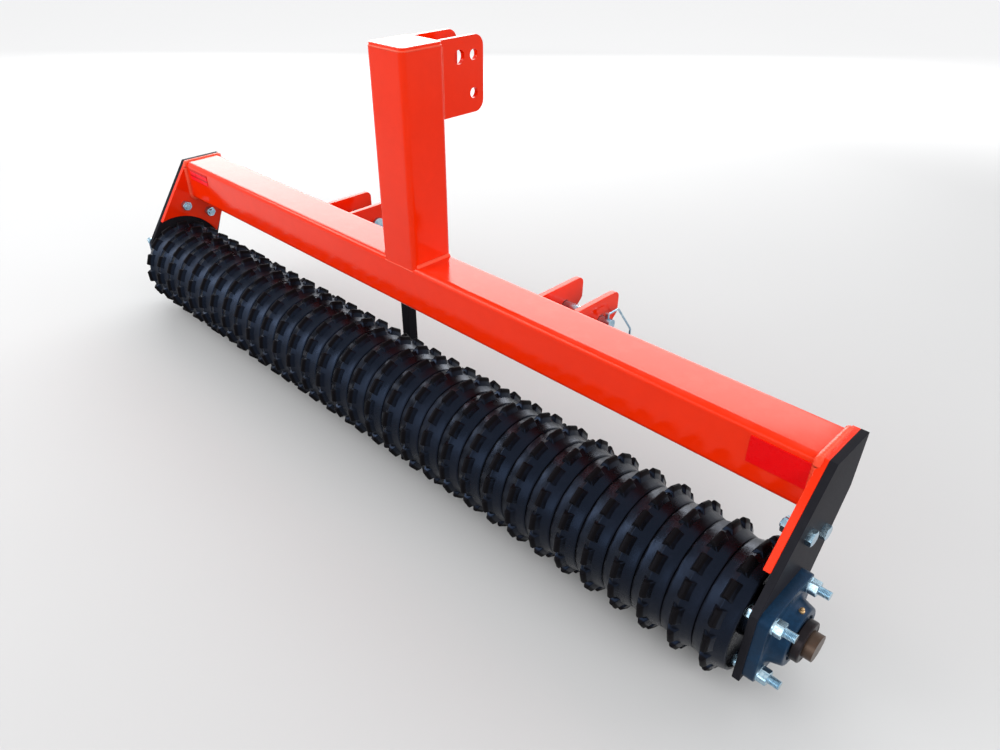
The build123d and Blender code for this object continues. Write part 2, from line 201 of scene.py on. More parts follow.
class Shader:
    """A material under way."""

    def __init__(self, name: str) -> None:
        """Starts an empty node tree with one surface shader.

        Args:
            name: The material's name.
        """
        self.material = bpy.data.materials.new(name)
        self.material.use_nodes = True
        self.tree = self.material.node_tree
        self.tree.nodes.clear()
        self.surface = self.tree.nodes.new("ShaderNodeBsdfPrincipled")
        self.output = self.tree.nodes.new("ShaderNodeOutputMaterial")
        self.tree.links.new(self.surface.outputs[0], self.output.inputs[0])

    def plug(self, socket: bpy.types.NodeSocket, value: object) -> None:
        """Gives a socket its value or link.

        Args:
            socket: The input.
            value: A Signal, an output socket, or a plain value.
        """
        if isinstance(value, Signal):
            self.tree.links.new(value.socket, socket)
        elif isinstance(value, bpy.types.NodeSocket):
            self.tree.links.new(value, socket)
        elif isinstance(value, tuple) and socket.type == "RGBA":
            socket.default_value = (*value, 1.0)
        else:
            socket.default_value = value

    def node(self, kind: str, settings: dict | None = None, inputs: dict | None = None) -> bpy.types.Node:
        """Adds any node.

        Args:
            kind: The node's type.
            settings: Its settings, set first; "stops" are a ramp's (position, colour) pairs.
            inputs: Values or links by socket name or number.

        Returns:
            The node.
        """
        made = self.tree.nodes.new(kind)
        for key, value in (settings or {}).items():
            if key == "stops":
                ramp = made.color_ramp
                while len(ramp.elements) < len(value):
                    ramp.elements.new(1.0)
                for stop, (place, colour) in zip(ramp.elements, value):
                    stop.position = place
                    stop.color = (*colour, 1.0)
            else:
                setattr(made, key, value)
        for key, value in (inputs or {}).items():
            self.plug(made.inputs[key], value)
        return made

    def place(self, stretch: Point = (1.0, 1.0, 1.0)) -> bpy.types.NodeSocket:
        """Object coordinates in metres, stretched by this factor on each axis."""
        where = self.node("ShaderNodeTexCoord").outputs["Object"]
        return self.node("ShaderNodeMapping", None, {"Vector": where, "Scale": stretch}).outputs[0]

    def noise(self, grain: Grain) -> Signal:
        """Noise of this grain."""
        made = self.node("ShaderNodeTexNoise", None, {
            "Vector": self.place(grain.stretch), "Scale": grain.scale, "Detail": grain.detail,
            "Roughness": grain.rough,
        })
        return Signal(self, made.outputs[0])

    def cells(self, scale: float, feature: str = "F1") -> Signal:
        """A pattern of cells of this scale, per metre."""
        made = self.node(
            "ShaderNodeTexVoronoi", {"feature": feature}, {"Vector": self.place(), "Scale": scale},
        )
        return Signal(self, made.outputs[0])

    def reach(self, spot: Point, stretch: Point = (1.0, 1.0, 1.0)) -> Signal:
        """The distance in metres from this spot, with its axes stretched."""
        made = self.node(
            "ShaderNodeVectorMath", {"operation": "DISTANCE"}, {0: self.place(stretch), 1: spot},
        )
        return Signal(self, made.outputs[1])

    def mix(self, factor: "Signal | float", low: object, high: object) -> bpy.types.NodeSocket:
        """Mixes two colours.

        Args:
            factor: 0 gives low and 1 gives high.
            low: A colour or colour socket.
            high: A colour or colour socket.

        Returns:
            The mixed colour's socket.
        """
        made = self.node("ShaderNodeMix", {"data_type": "RGBA"}, {0: factor, 6: low, 7: high})
        return made.outputs[2]

    def height(self, vector: bpy.types.NodeSocket) -> Signal:
        """The Z part of a vector."""
        return Signal(self, self.node("ShaderNodeSeparateXYZ", None, {0: vector}).outputs[2])

    def upward(self) -> Signal:
        """How far the surface faces up, from -1 to 1."""
        return self.height(self.node("ShaderNodeNewGeometry").outputs["Normal"])

    def bump(
        self, height: Signal, strength: float, distance: float, under: object = None,
    ) -> bpy.types.NodeSocket:
        """Adds a Bump node.

        Args:
            height: The surface's height.
            strength: How strongly it shows.
            distance: How high a height of 1 is, in metres.
            under: The normal that it lies over.

        Returns:
            The bumped normal's socket.
        """
        inputs = {"Height": height, "Strength": strength, "Distance": distance}
        if under is not None:
            inputs["Normal"] = under
        return self.node("ShaderNodeBump", None, inputs).outputs[0]

    def cover(self, share: Signal, **inputs: object) -> None:
        """Lays a second surface shader over the first.

        Args:
            share: How much of it shows, from 0 to 1.
            inputs: Its sockets, named as for set.
        """
        below = self.surface
        self.surface = self.tree.nodes.new("ShaderNodeBsdfPrincipled")
        layers = {0: share, 1: below.outputs[0], 2: self.surface.outputs[0]}
        both = self.node("ShaderNodeMixShader", None, layers)
        self.tree.links.new(both.outputs[0], self.output.inputs[0])
        self.set(**inputs)

    def set(self, **inputs: object) -> None:
        """Sets the surface shader's sockets, named with _ for a space."""
        for key, value in inputs.items():
            self.plug(self.surface.inputs[key.replace("_", " ")], value)


@dataclass(frozen=True)
class SprayPaint:
    """Sprayed machine enamel: fine orange peel, slight drift of shade and a breath of dust on top."""

    name: str
    colour: Colour
    shade: Colour
    dust: Colour
    gloss: float = 0.10
    sheen_level: float = 0.40
    sheen_tint: Colour = (1.0, 0.46, 0.34)
    dusty: float = 0.03
    peel: float = 0.045
    peel_depth: float = 0.0006
    peel_grain: Grain = Grain(420.0, 2.0, 0.45)
    drift_grain: Grain = Grain(3.1, 3.0, 0.55)
    drift_share: float = 0.7
    shade_span: Span = (0.36, 0.66)
    fine_grain: Grain = Grain(46.0, 4.0, 0.6)
    fine_span: Span = (0.45, 0.75)
    fine_rough: float = 0.03
    level_span: Span = (0.55, 0.98)
    dust_grain: Grain = Grain(17.0, 5.0, 0.62)
    dust_span: Span = (0.40, 0.72)
    dust_rough: float = 0.06

    def material(self) -> bpy.types.Material:
        """Builds the paint.

        Returns:
            The material.
        """
        shader = Shader(self.name)
        drift = shader.noise(self.drift_grain)
        fine = shader.noise(self.fine_grain)
        faded = drift.blend(fine, self.drift_share).above(*self.shade_span)
        patches = shader.noise(self.dust_grain).above(*self.dust_span)
        settled = shader.upward().above(*self.level_span) * patches
        paint = shader.mix(faded, self.shade, self.colour)
        rough = self.gloss + self.fine_rough * fine.above(*self.fine_span) + self.dust_rough * settled
        shader.set(
            Base_Color=shader.mix(settled * self.dusty, paint, self.dust), Roughness=rough,
            Normal=shader.bump(shader.noise(self.peel_grain), self.peel, self.peel_depth),
            Specular_IOR_Level=self.sheen_level, Specular_Tint=self.sheen_tint,
        )
        return shader.material


@dataclass(frozen=True)
class DullTips:
    """Where paint on a turning part's tips has gone dull, by distance from its axle in millimetres."""

    axle_y: float = AXLE_Y
    axle_z: float = AXLE_Z
    inner_r: float = 112.0
    outer_r: float = 115.0
    colour: Colour = (0.0044, 0.0040, 0.0046)
    gloss: float = 0.44
    fine_rough: float = 0.12
    sheen_level: float = 0.05
    # The faint blue sheen tint is a painted sky reflection.
    sheen_tint: Colour = (0.75, 0.75, 1.0)


@dataclass(frozen=True)
class CastPaint:
    """Paint over cast iron: sand grain, soft lumps, a drift of shade, and a sheen tinted blue as a painted
    sky reflection.
    """

    name: str
    colour: Colour
    bloom: Colour
    gloss: float = 0.23
    sheen_level: float = 0.27
    # The blue sheen tint is a painted reflection of a blue sky, laid into the roller's and the bearing's
    # paint.
    sheen_tint: Colour = (0.34, 0.54, 1.0)
    cloud_grain: Grain = Grain(14.0, 5.0, 0.6)
    cloud_share: float = 0.6
    cloud_span: Span = (0.42, 0.72)
    cloud_rough: float = 0.22
    fine_grain: Grain = Grain(160.0, 3.0, 0.6)
    fine_rough: float = 0.08
    bloom_span: Span = (0.46, 0.70)
    sand: float = 0.16
    sand_scale: float = 620.0
    sand_depth: float = 0.0005
    lumps: float = 0.20
    lump_grain: Grain = Grain(70.0, 3.0, 0.5)
    lump_depth: float = 0.0016
    tips: DullTips | None = None

    def material(self) -> bpy.types.Material:
        """Builds the cast finish.

        Returns:
            The material.
        """
        shader = Shader(self.name)
        cloud = shader.noise(self.cloud_grain)
        fine = shader.noise(self.fine_grain)
        bloomed = cloud.blend(fine, self.cloud_share).above(*self.bloom_span)
        soft = shader.bump(shader.noise(self.lump_grain), self.lumps, self.lump_depth)
        normal = shader.bump(shader.cells(self.sand_scale), self.sand, self.sand_depth, soft)
        shader.set(
            Base_Color=shader.mix(bloomed, self.colour, self.bloom), Normal=normal,
            Roughness=self.gloss + self.cloud_rough * cloud.above(*self.cloud_span) + self.fine_rough * fine,
            Specular_IOR_Level=self.sheen_level, Specular_Tint=self.sheen_tint,
        )
        if self.tips is not None:
            self.dull_tips(shader, self.tips, fine, normal)
        return shader.material

    def dull_tips(
        self, shader: Shader, tips: DullTips, fine: Signal, normal: bpy.types.NodeSocket,
    ) -> None:
        """Covers the tips with the dull finish.

        Args:
            shader: The finish under way.
            tips: Where and how dull.
            fine: The finish's fine noise.
            normal: The finish's bumped normal.
        """
        spoke = shader.reach((0.0, tips.axle_y * MM, tips.axle_z * MM), (0.0, 1.0, 1.0))
        shader.cover(
            spoke.above(tips.inner_r * MM, tips.outer_r * MM), Base_Color=tips.colour, Normal=normal,
            Roughness=tips.gloss + tips.fine_rough * fine,
            Specular_IOR_Level=tips.sheen_level, Specular_Tint=tips.sheen_tint,
        )


@dataclass(frozen=True)
class Plated:
    """Bright plate with a cool or warm cast, mottled and finely drawn."""

    name: str
    colour: Colour
    dull: Colour
    gloss: float
    metal: float = 0.78
    spangle_grain: Grain = Grain(210.0, 3.0, 0.6)
    spangle_share: float = 0.5
    spangle_span: Span = (0.40, 0.62)
    cloud_grain: Grain = Grain(38.0, 4.0, 0.55)
    cloud_span: Span = (0.40, 0.70)
    cloud_rough: float = 0.10
    drawn: float = 0.04
    drawn_grain: Grain = Grain(1400.0, 2.0, 0.5)
    drawn_depth: float = 0.0002

    def material(self) -> bpy.types.Material:
        """Builds the plating.

        Returns:
            The material.
        """
        shader = Shader(self.name)
        cloud = shader.noise(self.cloud_grain)
        mottle = shader.noise(self.spangle_grain).blend(cloud, self.spangle_share)
        shader.set(
            Base_Color=shader.mix(mottle.above(*self.spangle_span), self.dull, self.colour),
            Metallic=self.metal, Roughness=self.gloss + self.cloud_rough * cloud.above(*self.cloud_span),
            Normal=shader.bump(shader.noise(self.drawn_grain), self.drawn, self.drawn_depth),
        )
        return shader.material


@dataclass(frozen=True)
class OiledSteel:
    """Dark turned steel with an oily film and freckles of first rust."""

    name: str
    colour: Colour
    rust: Colour
    gloss: float = 0.34
    metal: float = 0.75
    freckle_grain: Grain = Grain(120.0, 5.0, 0.65)
    freckle_span: Span = (0.52, 0.66)
    freckle_rough: float = 0.10
    cloud_grain: Grain = Grain(20.0, 4.0, 0.6)
    cloud_span: Span = (0.40, 0.62)
    rust_rough: float = 0.30
    lathe: float = 0.16
    lathe_grain: Grain = Grain(900.0, 2.0, 0.5, (1.0, 0.25, 0.25))
    lathe_depth: float = 0.0003

    def material(self) -> bpy.types.Material:
        """Builds the bare metal.

        Returns:
            The material.
        """
        shader = Shader(self.name)
        freckle = shader.noise(self.freckle_grain)
        spots = freckle.above(*self.freckle_span) * shader.noise(self.cloud_grain).above(*self.cloud_span)
        shader.set(
            Base_Color=shader.mix(spots, self.colour, self.rust), Metallic=self.metal,
            Roughness=self.gloss + self.rust_rough * spots + self.freckle_rough * freckle,
            Normal=shader.bump(shader.noise(self.lathe_grain), self.lathe, self.lathe_depth),
        )
        return shader.material


@dataclass(frozen=True)
class ReflexSheet:
    """Retro-reflecting sheet: a fine prism lattice under a clear glossy face, plain or in level bars."""

    name: str
    colour: Colour
    cell: Colour
    bar: Colour | None = None
    bar_start: float = 0.0
    bar_pitch: float = 0.0135
    bar_span: Span = (0.60, 0.68)
    gloss: float = 0.22
    sheen_level: float = 0.15
    prism: float = 0.05
    prism_scale: float = 330.0
    prism_span: Span = (0.0, 0.10)
    prism_share: float = 0.6
    prism_depth: float = 0.0002
    drift_grain: Grain = Grain(40.0, 3.0, 0.5)
    drift_rough: float = 0.12

    def material(self) -> bpy.types.Material:
        """Builds the sheet.

        Returns:
            The material.
        """
        shader = Shader(self.name)
        lattice = shader.cells(self.prism_scale, "DISTANCE_TO_EDGE").above(*self.prism_span)
        drift = shader.noise(self.drift_grain)
        colour = shader.mix(lattice.blend(drift, self.prism_share), self.cell, self.colour)
        if self.bar is not None:
            run = (shader.height(shader.place()) - self.bar_start) * (1 / self.bar_pitch)
            colour = shader.mix(run.math("FRACT").above(*self.bar_span), colour, self.bar)
        shader.set(
            Base_Color=colour, Roughness=self.gloss + self.drift_rough * drift,
            Normal=shader.bump(lattice, self.prism, self.prism_depth), Specular_IOR_Level=self.sheen_level,
        )
        return shader.material


class Paintbox:
    """Every finish, built once."""

    def __init__(self) -> None:
        """Builds the materials."""
        makers = {
            Look.ORANGE: SprayPaint("orange_enamel", linear("F22C04"), linear("EB2903"), linear("EFC9B8")),
            # The weld paint is lighter than the orange enamel: a painted highlight where light catches the
            # beads.
            Look.WELD: SprayPaint(
                "orange_enamel_on_weld_painted_highlight", linear("F5583E"), linear("EF4A30"), linear("F0C9BA"),
                gloss=0.20, peel=0.22, peel_grain=Grain(260.0, 2.0, 0.45),
            ),
            # The black paint's blue-grey sheen tint is a painted sky reflection.
            Look.BLACK: SprayPaint(
                "black_enamel", linear("26262B"), linear("202024"), linear("4A4642"),
                gloss=0.40, sheen_level=0.012, sheen_tint=(0.80, 0.88, 1.0), dusty=0.10, peel=0.10,
            ),
            Look.ROLLER: CastPaint("roller_black", linear("0A0A0D"), linear("101117"), tips=DullTips()),
            Look.BEARING: CastPaint(
                "bearing_blue_black", linear("0C2438"), linear("123049"),
                gloss=0.28, sheen_level=0.34, sand=0.22,
            ),
            # The zinc's blue cast is partly the plating's own colour and partly a painted reflection of a
            # blue sky.
            Look.ZINC: Plated("zinc_plate", linear("C2DCEA"), linear("8FB2C8"), gloss=0.16, metal=0.92),
            Look.SHAFT: OiledSteel("oiled_shaft_steel", linear("54443A"), linear("6A4A36")),
            Look.COLLAR: OiledSteel("oiled_collar_steel", linear("241F22"), linear("3A2B2A")),
            Look.BRASS: Plated("brass_fitting", linear("DDBD8E"), linear("A88458"), gloss=0.3),
            Look.RED: ReflexSheet("red_reflector_sheet", linear("EA0008"), linear("DE0006")),
            Look.BARRED: ReflexSheet(
                "barred_reflector_sheet", linear("FF1830"), linear("F01022"), linear("C40A10"),
                bar_start=0.3482,
            ),
        }
        self.materials = {look: maker.material() for look, maker in makers.items()}

    def __getitem__(self, look: Look) -> bpy.types.Material:
        """The material of this finish."""
        return self.materials[look]


def sharp_edges(bm: bmesh.types.BMesh, degrees: float) -> list[bmesh.types.BMEdge]:
    """Edges whose faces meet at more than this angle."""
    limit = math.radians(degrees)
    return [e for e in bm.edges if len(e.link_faces) == 2 and e.calc_face_angle(0.0) > limit]


def soften(
    bm: bmesh.types.BMesh, edges: Sequence[bmesh.types.BMEdge], width: float, segments: int = 2,
) -> None:
    """Rounds these edges.

    Args:
        bm: The mesh.
        edges: The edges to round.
        width: How far the rounding reaches, in millimetres.
        segments: How many strips it has.
    """
    bmesh.ops.bevel(
        bm, geom=list(edges), offset=width * MM, offset_type="OFFSET", segments=segments,
        profile=0.5, affect="EDGES", clamp_overlap=True, material=-1,
    )


def running(bm: bmesh.types.BMesh, axis: int) -> list[bmesh.types.BMEdge]:
    """Edges that run along this axis."""
    return [e for e in bm.edges if abs((e.verts[0].co - e.verts[1].co).normalized()[axis]) > ALONG]


def stepped(start: Span, steps: Iterable[Span]) -> list[Span]:
    """The (x, radius) points of a profile, given as steps from one start."""
    return [(start[0] + x, start[1] + r) for x, r in steps]


def turned(bm: bmesh.types.BMesh, profile: Iterable[Span], steps: int, closed: bool = False) -> None:
    """Spins an (x, radius) profile about the X axis.

    Args:
        bm: The mesh that gets the ring.
        profile: Points in millimetres along X and out from it.
        steps: How many facets a full turn has.
        closed: Whether the last point joins the first.
    """
    points = [bm.verts.new((x * MM, 0.0, r * MM)) for x, r in profile]
    lines = [bm.edges.new(pair) for pair in zip(points, points[1:])]
    if closed:
        lines.append(bm.edges.new((points[-1], points[0])))
    bmesh.ops.spin(
        bm, geom=points + lines, cent=(0, 0, 0), axis=(1, 0, 0), angle=math.tau, steps=steps, use_merge=True,
    )
    bmesh.ops.remove_doubles(bm, verts=bm.verts[:], dist=SPUN_JOIN)
    bmesh.ops.recalc_face_normals(bm, faces=bm.faces[:])


def block(bm: bmesh.types.BMesh, low: Point, high: Point) -> list[bmesh.types.BMVert]:
    """Adds a box between two corners.

    Args:
        bm: The mesh that gets it.
        low: Its lowest corner in millimetres.
        high: Its highest corner.

    Returns:
        Its vertices.
    """
    size = [(b - a) * MM for a, b in zip(low, high)]
    middle = [(a + b) / 2 * MM for a, b in zip(low, high)]
    matrix = Matrix.Translation(middle) @ Matrix.Diagonal((*size, 1.0))
    return bmesh.ops.create_cube(bm, size=1.0, matrix=matrix)["verts"]


def joined(parts: Iterable[tuple[bmesh.types.BMesh, Matrix]]) -> bmesh.types.BMesh:
    """Puts copies of meshes together.

    Args:
        parts: Each mesh with its placing matrix.

    Returns:
        One mesh with all of them.
    """
    whole = bmesh.new()
    for part, matrix in parts:
        data = bpy.data.meshes.new("part")
        part.to_mesh(data)
        data.transform(matrix)
        if matrix.determinant() < 0:
            data.flip_normals()
        whole.from_mesh(data)
        bpy.data.meshes.remove(data)
    return whole


def together(*parts: bmesh.types.BMesh) -> bmesh.types.BMesh:
    """Puts copies of meshes together where they are."""
    return joined((part, Matrix.Identity(4)) for part in parts)


def shift(x: float, y: float, z: float) -> Matrix:
    """A move in millimetres."""
    return Matrix.Translation((x * MM, y * MM, z * MM))


@dataclass
class Workshop:
    """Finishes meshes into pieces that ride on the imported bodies."""

    paints: Paintbox
    packed_join: float = 2e-6
    flat_degrees: float = 0.8
    hard_degrees: float = 32.0
    bead_sharp: float = 80.0
    count: int = 0

    def piece(
        self, bm: bmesh.types.BMesh, name: str, body: Body, look: Look,
        nodes: Sequence[str] = (), sharp: float = 40.0, weighted: bool = True,
    ) -> bpy.types.Object:
        """Makes an object from a mesh.

        Args:
            bm: The finished mesh, in place.
            name: The piece's name.
            body: The body it rides on.
            look: Its finish.
            nodes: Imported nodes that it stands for.
            sharp: Edges over this angle stay crisp, in degrees.
            weighted: Whether large faces keep their own shading.

        Returns:
            The object.
        """
        data = bpy.data.meshes.new(name)
        bm.to_mesh(data)
        bm.free()
        for face in data.polygons:
            face.use_smooth = True
        data.set_sharp_from_angle(angle=math.radians(sharp))
        data.materials.append(self.paints[look])
        made = bpy.data.objects.new(name, data)
        bpy.context.scene.collection.objects.link(made)
        if weighted:
            normals = made.modifiers.new("even_faces", "WEIGHTED_NORMAL")
            normals.keep_sharp = True
        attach(made, body.value)
        if nodes:
            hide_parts(*nodes)
        self.count += 1
        LOG.info("%s: %d faces on %s", name, len(data.polygons), body.value)
        return made

    def eased(
        self, node: str, name: str, body: Body, look: Look, width: float, segments: int = 2,
    ) -> bpy.types.Object:
        """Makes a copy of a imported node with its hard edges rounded.

        Args:
            node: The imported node.
            name: The piece's name.
            body: The body it rides on.
            look: Its finish.
            width: The rounding in millimetres.
            segments: Strips in the rounding.

        Returns:
            The object.
        """
        bm = bmesh.new()
        bm.from_mesh(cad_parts[node].data)
        bmesh.ops.remove_doubles(bm, verts=bm.verts[:], dist=self.packed_join)
        bmesh.ops.dissolve_limit(
            bm, angle_limit=math.radians(self.flat_degrees), verts=bm.verts[:], edges=bm.edges[:],
            use_dissolve_boundaries=False,
        )
        soften(bm, sharp_edges(bm, self.hard_degrees), width, segments)
        return self.piece(bm, name, body, look, (node,))

    def formed(
        self, parts: Iterable[tuple[bmesh.types.BMesh, Matrix]], name: str, body: Body, look: Look,
        node: str, sharp: float,
    ) -> None:
        """Makes one piece of placed meshes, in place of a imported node.

        Args:
            parts: Each mesh with its placing matrix.
            name: The piece's name.
            body: The body it rides on.
            look: Its finish.
            node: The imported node.
            sharp: Edges over this angle stay crisp, in degrees.
        """
        self.piece(joined(parts), name, body, look, (node,), sharp, weighted=False)

    def beads(
        self, bm: bmesh.types.BMesh, name: str, body: Body = Body.FRAME, look: Look = Look.WELD,
    ) -> None:
        """Makes one piece of weld beads, shaded smooth."""
        self.piece(bm, name, body, look, sharp=self.bead_sharp, weighted=False)


@dataclass(frozen=True)
class WeldBead:
    """A rippled bead of weld laid along a path, in millimetres."""

    radius: float = 4.6
    step: float = 1.5
    ripple: float = 5.5
    wobble: float = 0.10
    unevenness: float = 0.03
    end_taper: float = 0.45
    sides: int = 8
    seed: int = 7

    def lay(self, bm: bmesh.types.BMesh, path: Sequence[Vector], closed: bool = False) -> None:
        """Lays the bead.

        Args:
            bm: The mesh that gets it.
            path: Corner points in millimetres.
            closed: Whether the path ends where it starts.
        """
        chance = random.Random(self.seed + len(bm.verts))
        points = self.divided(path, closed)
        count = len(points)
        edges: list[bmesh.types.BMEdge] = []
        first: list[bmesh.types.BMEdge] = []
        home = Matrix.Identity(4)
        for i, point in enumerate(points):
            ahead = points[(i + 1) % count] if closed or i + 1 < count else point
            behind = points[i - 1] if closed or i else point
            turn = (ahead - behind).to_track_quat("Z", "Y").to_matrix().to_4x4()
            wave = self.wobble * math.sin(math.tau * i * self.step / self.ripple)
            swell = 1.0 + wave + chance.uniform(-self.unevenness, self.unevenness)
            if not closed and i in (0, count - 1):
                swell *= self.end_taper
            goal = Matrix.Translation(point * MM) @ turn @ Matrix.Scale(swell * self.radius * MM, 4)
            if i == 0:
                made = bmesh.ops.create_circle(
                    bm, cap_ends=False, radius=1.0, segments=self.sides, matrix=goal,
                )
                edges = first = list({e for v in made["verts"] for e in v.link_edges})
            else:
                grown = bmesh.ops.extrude_edge_only(bm, edges=edges)["geom"]
                ring = [g for g in grown if isinstance(g, bmesh.types.BMVert)]
                edges = [g for g in grown if isinstance(g, bmesh.types.BMEdge)]
                bmesh.ops.transform(bm, matrix=goal @ home.inverted(), verts=ring)
            home = goal
        if closed:
            bmesh.ops.bridge_loops(bm, edges=first + edges)
        else:
            bmesh.ops.holes_fill(bm, edges=first + edges, sides=self.sides)
        bmesh.ops.recalc_face_normals(bm, faces=bm.faces[:])

    def divided(self, path: Sequence[Vector], closed: bool) -> list[Vector]:
        """Divides the path into steps.

        Args:
            path: Corner points in millimetres.
            closed: Whether the path ends where it starts.

        Returns:
            Points every step along it.
        """
        stops = list(path) + ([path[0]] if closed else [])
        spots: list[Vector] = []
        for a, b in zip(stops, stops[1:]):
            parts = max(1, round((b - a).length / self.step))
            spots += [a.lerp(b, k / parts) for k in range(parts)]
        return spots if closed else spots + [stops[-1]]


def upright(x: float, y: float, heights: Span) -> list[Vector]:
    """A straight path between two heights, in millimetres."""
    return [Vector((x, y, z)) for z in heights]


def round_square(middle: Vector, u: Vector, v: Vector, half: float, corner: float) -> list[Vector]:
    """The outline of a square with round corners.

    Args:
        middle: Its centre in millimetres.
        u: Its first direction.
        v: Its second direction.
        half: Half its side.
        corner: The radius of its corners.

    Returns:
        Points round the outline.
    """
    spots = []
    for quarter, (su, sv) in enumerate(((1, 1), (-1, 1), (-1, -1), (1, -1))):
        for part in range(CORNER_PARTS + 1):
            angle = math.radians(90 * quarter + 90 / CORNER_PARTS * part)
            spots.append(
                middle
                + u * (su * (half - corner) + corner * math.cos(angle))
                + v * (sv * (half - corner) + corner * math.sin(angle))
            )
    return spots


@dataclass
class Layout:
    """Places shared by the sub-assemblies, in millimetres."""

    axle_y: float = AXLE_Y
    axle_z: float = AXLE_Z
    tube_y: float = 13.825
    tube_z: float = 338.05
    tube_side: float = 101.6
    tube_corner: float = 12.0
    tube_wall: float = 6.35
    tube_half_length: float = 910.1
    side_plate_in: float = 922.8
    side_plate_t: float = 12.7
    weld_lift: float = 0.3

    @property
    def tube_half(self) -> float:
        """Half the tube's side."""
        return self.tube_side / 2

    @property
    def tube_top(self) -> float:
        """Height of the toolbar's top face."""
        return self.tube_z + self.tube_half

    @property
    def tube_front(self) -> float:
        """Where the toolbar's front face stands."""
        return self.tube_y + self.tube_half

    @property
    def front_weld(self) -> float:
        """Where beads lie on the toolbar's front face."""
        return self.tube_front + self.weld_lift

    @property
    def side_plate_out(self) -> float:
        """Outer face of the black side plates."""
        return self.side_plate_in + self.side_plate_t

    def from_axle(self, side: Side, out: float, y: float = 0.0, z: float = 0.0) -> Matrix:
        """A place this far out on a side, with y and z counted from the axle, in millimetres."""
        return shift(side.sign * out, self.axle_y + y, self.axle_z + z)


@dataclass
class Toolbar:
    """The long square tube, its mast, the cap and the top link plates."""

    shop: Workshop
    at: Layout
    corner_strips: int = 7
    mast_height: float = 406.4
    cap_t: float = 6.35
    foot_lap: float = 9.0
    link_spread: float = 82.0
    link_plate_t: float = 9.5
    link_height: float = 139.7
    corner_share: float = 0.55
    foot_bead: WeldBead = WeldBead(5.6, wobble=0.05, ripple=7.0, sides=12)
    foot_bead_out: float = 0.2
    foot_bead_up: float = 0.4
    hidden_bead: WeldBead = WeldBead(1.6, wobble=0.12)
    hidden_bead_in: float = 0.7
    cap_bead: WeldBead = WeldBead(2.2, wobble=0.07)
    cap_bead_in: float = 1.6
    cap_corner_in: float = 1.0
    link_bead: WeldBead = WeldBead(3.2, wobble=0.03)
    link_bead_ends: Span = (10.0, 3.0)

    def tube(self, low: Point, high: Point, along: int) -> bmesh.types.BMesh:
        """Makes a square tube's skin with round corners and open ends.

        Args:
            low: Lowest corner in millimetres.
            high: Highest corner.
            along: The axis it runs along.

        Returns:
            The mesh, one face thick.
        """
        bm = bmesh.new()
        block(bm, low, high)
        soften(bm, running(bm, along), self.at.tube_corner, self.corner_strips)
        ends = [f for f in bm.faces if abs(f.normal[along]) > ALONG]
        bmesh.ops.delete(bm, geom=ends, context="FACES_ONLY")
        return bm

    def walled(self, made: bpy.types.Object) -> None:
        """Gives a tube skin its wall, inwards, under the even shading.

        Args:
            made: The tube's piece.
        """
        wall = made.modifiers.new("tube_wall", "SOLIDIFY")
        wall.thickness = self.at.tube_wall * MM
        wall.offset = -1.0
        made.modifiers.move(len(made.modifiers) - 1, 0)

    def build_tubes(self) -> None:
        """Makes the toolbar, the mast and its cap."""
        a = self.at
        bar = self.tube(
            (-a.tube_half_length, a.tube_y - a.tube_half, a.tube_z - a.tube_half),
            (a.tube_half_length, a.tube_y + a.tube_half, a.tube_top), 0,
        )
        self.walled(self.shop.piece(bar, "toolbar", Body.FRAME, Look.ORANGE, ("toolbar_tube",)))
        mast = self.tube(
            (-a.tube_half, a.tube_y - a.tube_half, a.tube_top - self.foot_lap),
            (a.tube_half, a.tube_y + a.tube_half, a.tube_top + self.mast_height), 2,
        )
        self.walled(self.shop.piece(mast, "mast", Body.FRAME, Look.ORANGE, ("mast_tube",)))
        self.shop.eased("mast_cap", "mast_top_cap", Body.FRAME, Look.ORANGE, 1.6, 3)

    def build_link_plates(self) -> None:
        """Makes the two top link plates with rounded edges."""
        for side in Side:
            node = f"top_link_plate_{side.word}"
            self.shop.eased(node, f"link_plate_{side.word}", Body.FRAME, Look.ORANGE, 1.0)

    def build_welds(self) -> None:
        """Lays the beads at the mast's foot, under its cap and down the link plates."""
        a = self.at
        bm = bmesh.new()
        reach = a.tube_half - a.tube_corner * self.corner_share
        for sign in (-1, 1):
            x = sign * (a.tube_half + self.foot_bead_out)
            z = a.tube_top + self.foot_bead_up
            self.foot_bead.lay(bm, [Vector((x, a.tube_y + y, z)) for y in (-reach, reach)])
            y = a.tube_y + sign * (a.tube_half - self.hidden_bead_in)
            z = a.tube_top - self.foot_lap
            self.hidden_bead.lay(bm, [Vector((x, y, z)) for x in (-reach, reach)])
        cap_z = a.tube_top + self.mast_height
        rim = round_square(
            Vector((0, a.tube_y, cap_z)), Vector((1, 0, 0)), Vector((0, 1, 0)),
            a.tube_half - self.cap_bead_in, a.tube_corner - self.cap_corner_in,
        )
        self.cap_bead.lay(bm, rim, closed=True)
        top = cap_z + self.cap_t
        ends = (top - self.link_bead_ends[0], top - self.link_height + self.link_bead_ends[1])
        for side in Side:
            for face in (self.link_spread / 2, self.link_spread / 2 - self.link_plate_t):
                self.link_bead.lay(bm, upright(side.sign * face, a.front_weld, ends))
        self.shop.beads(bm, "mast_welds")

    def build(self) -> None:
        """Builds the sub-assembly."""
        self.build_tubes()
        self.build_link_plates()
        self.build_welds()


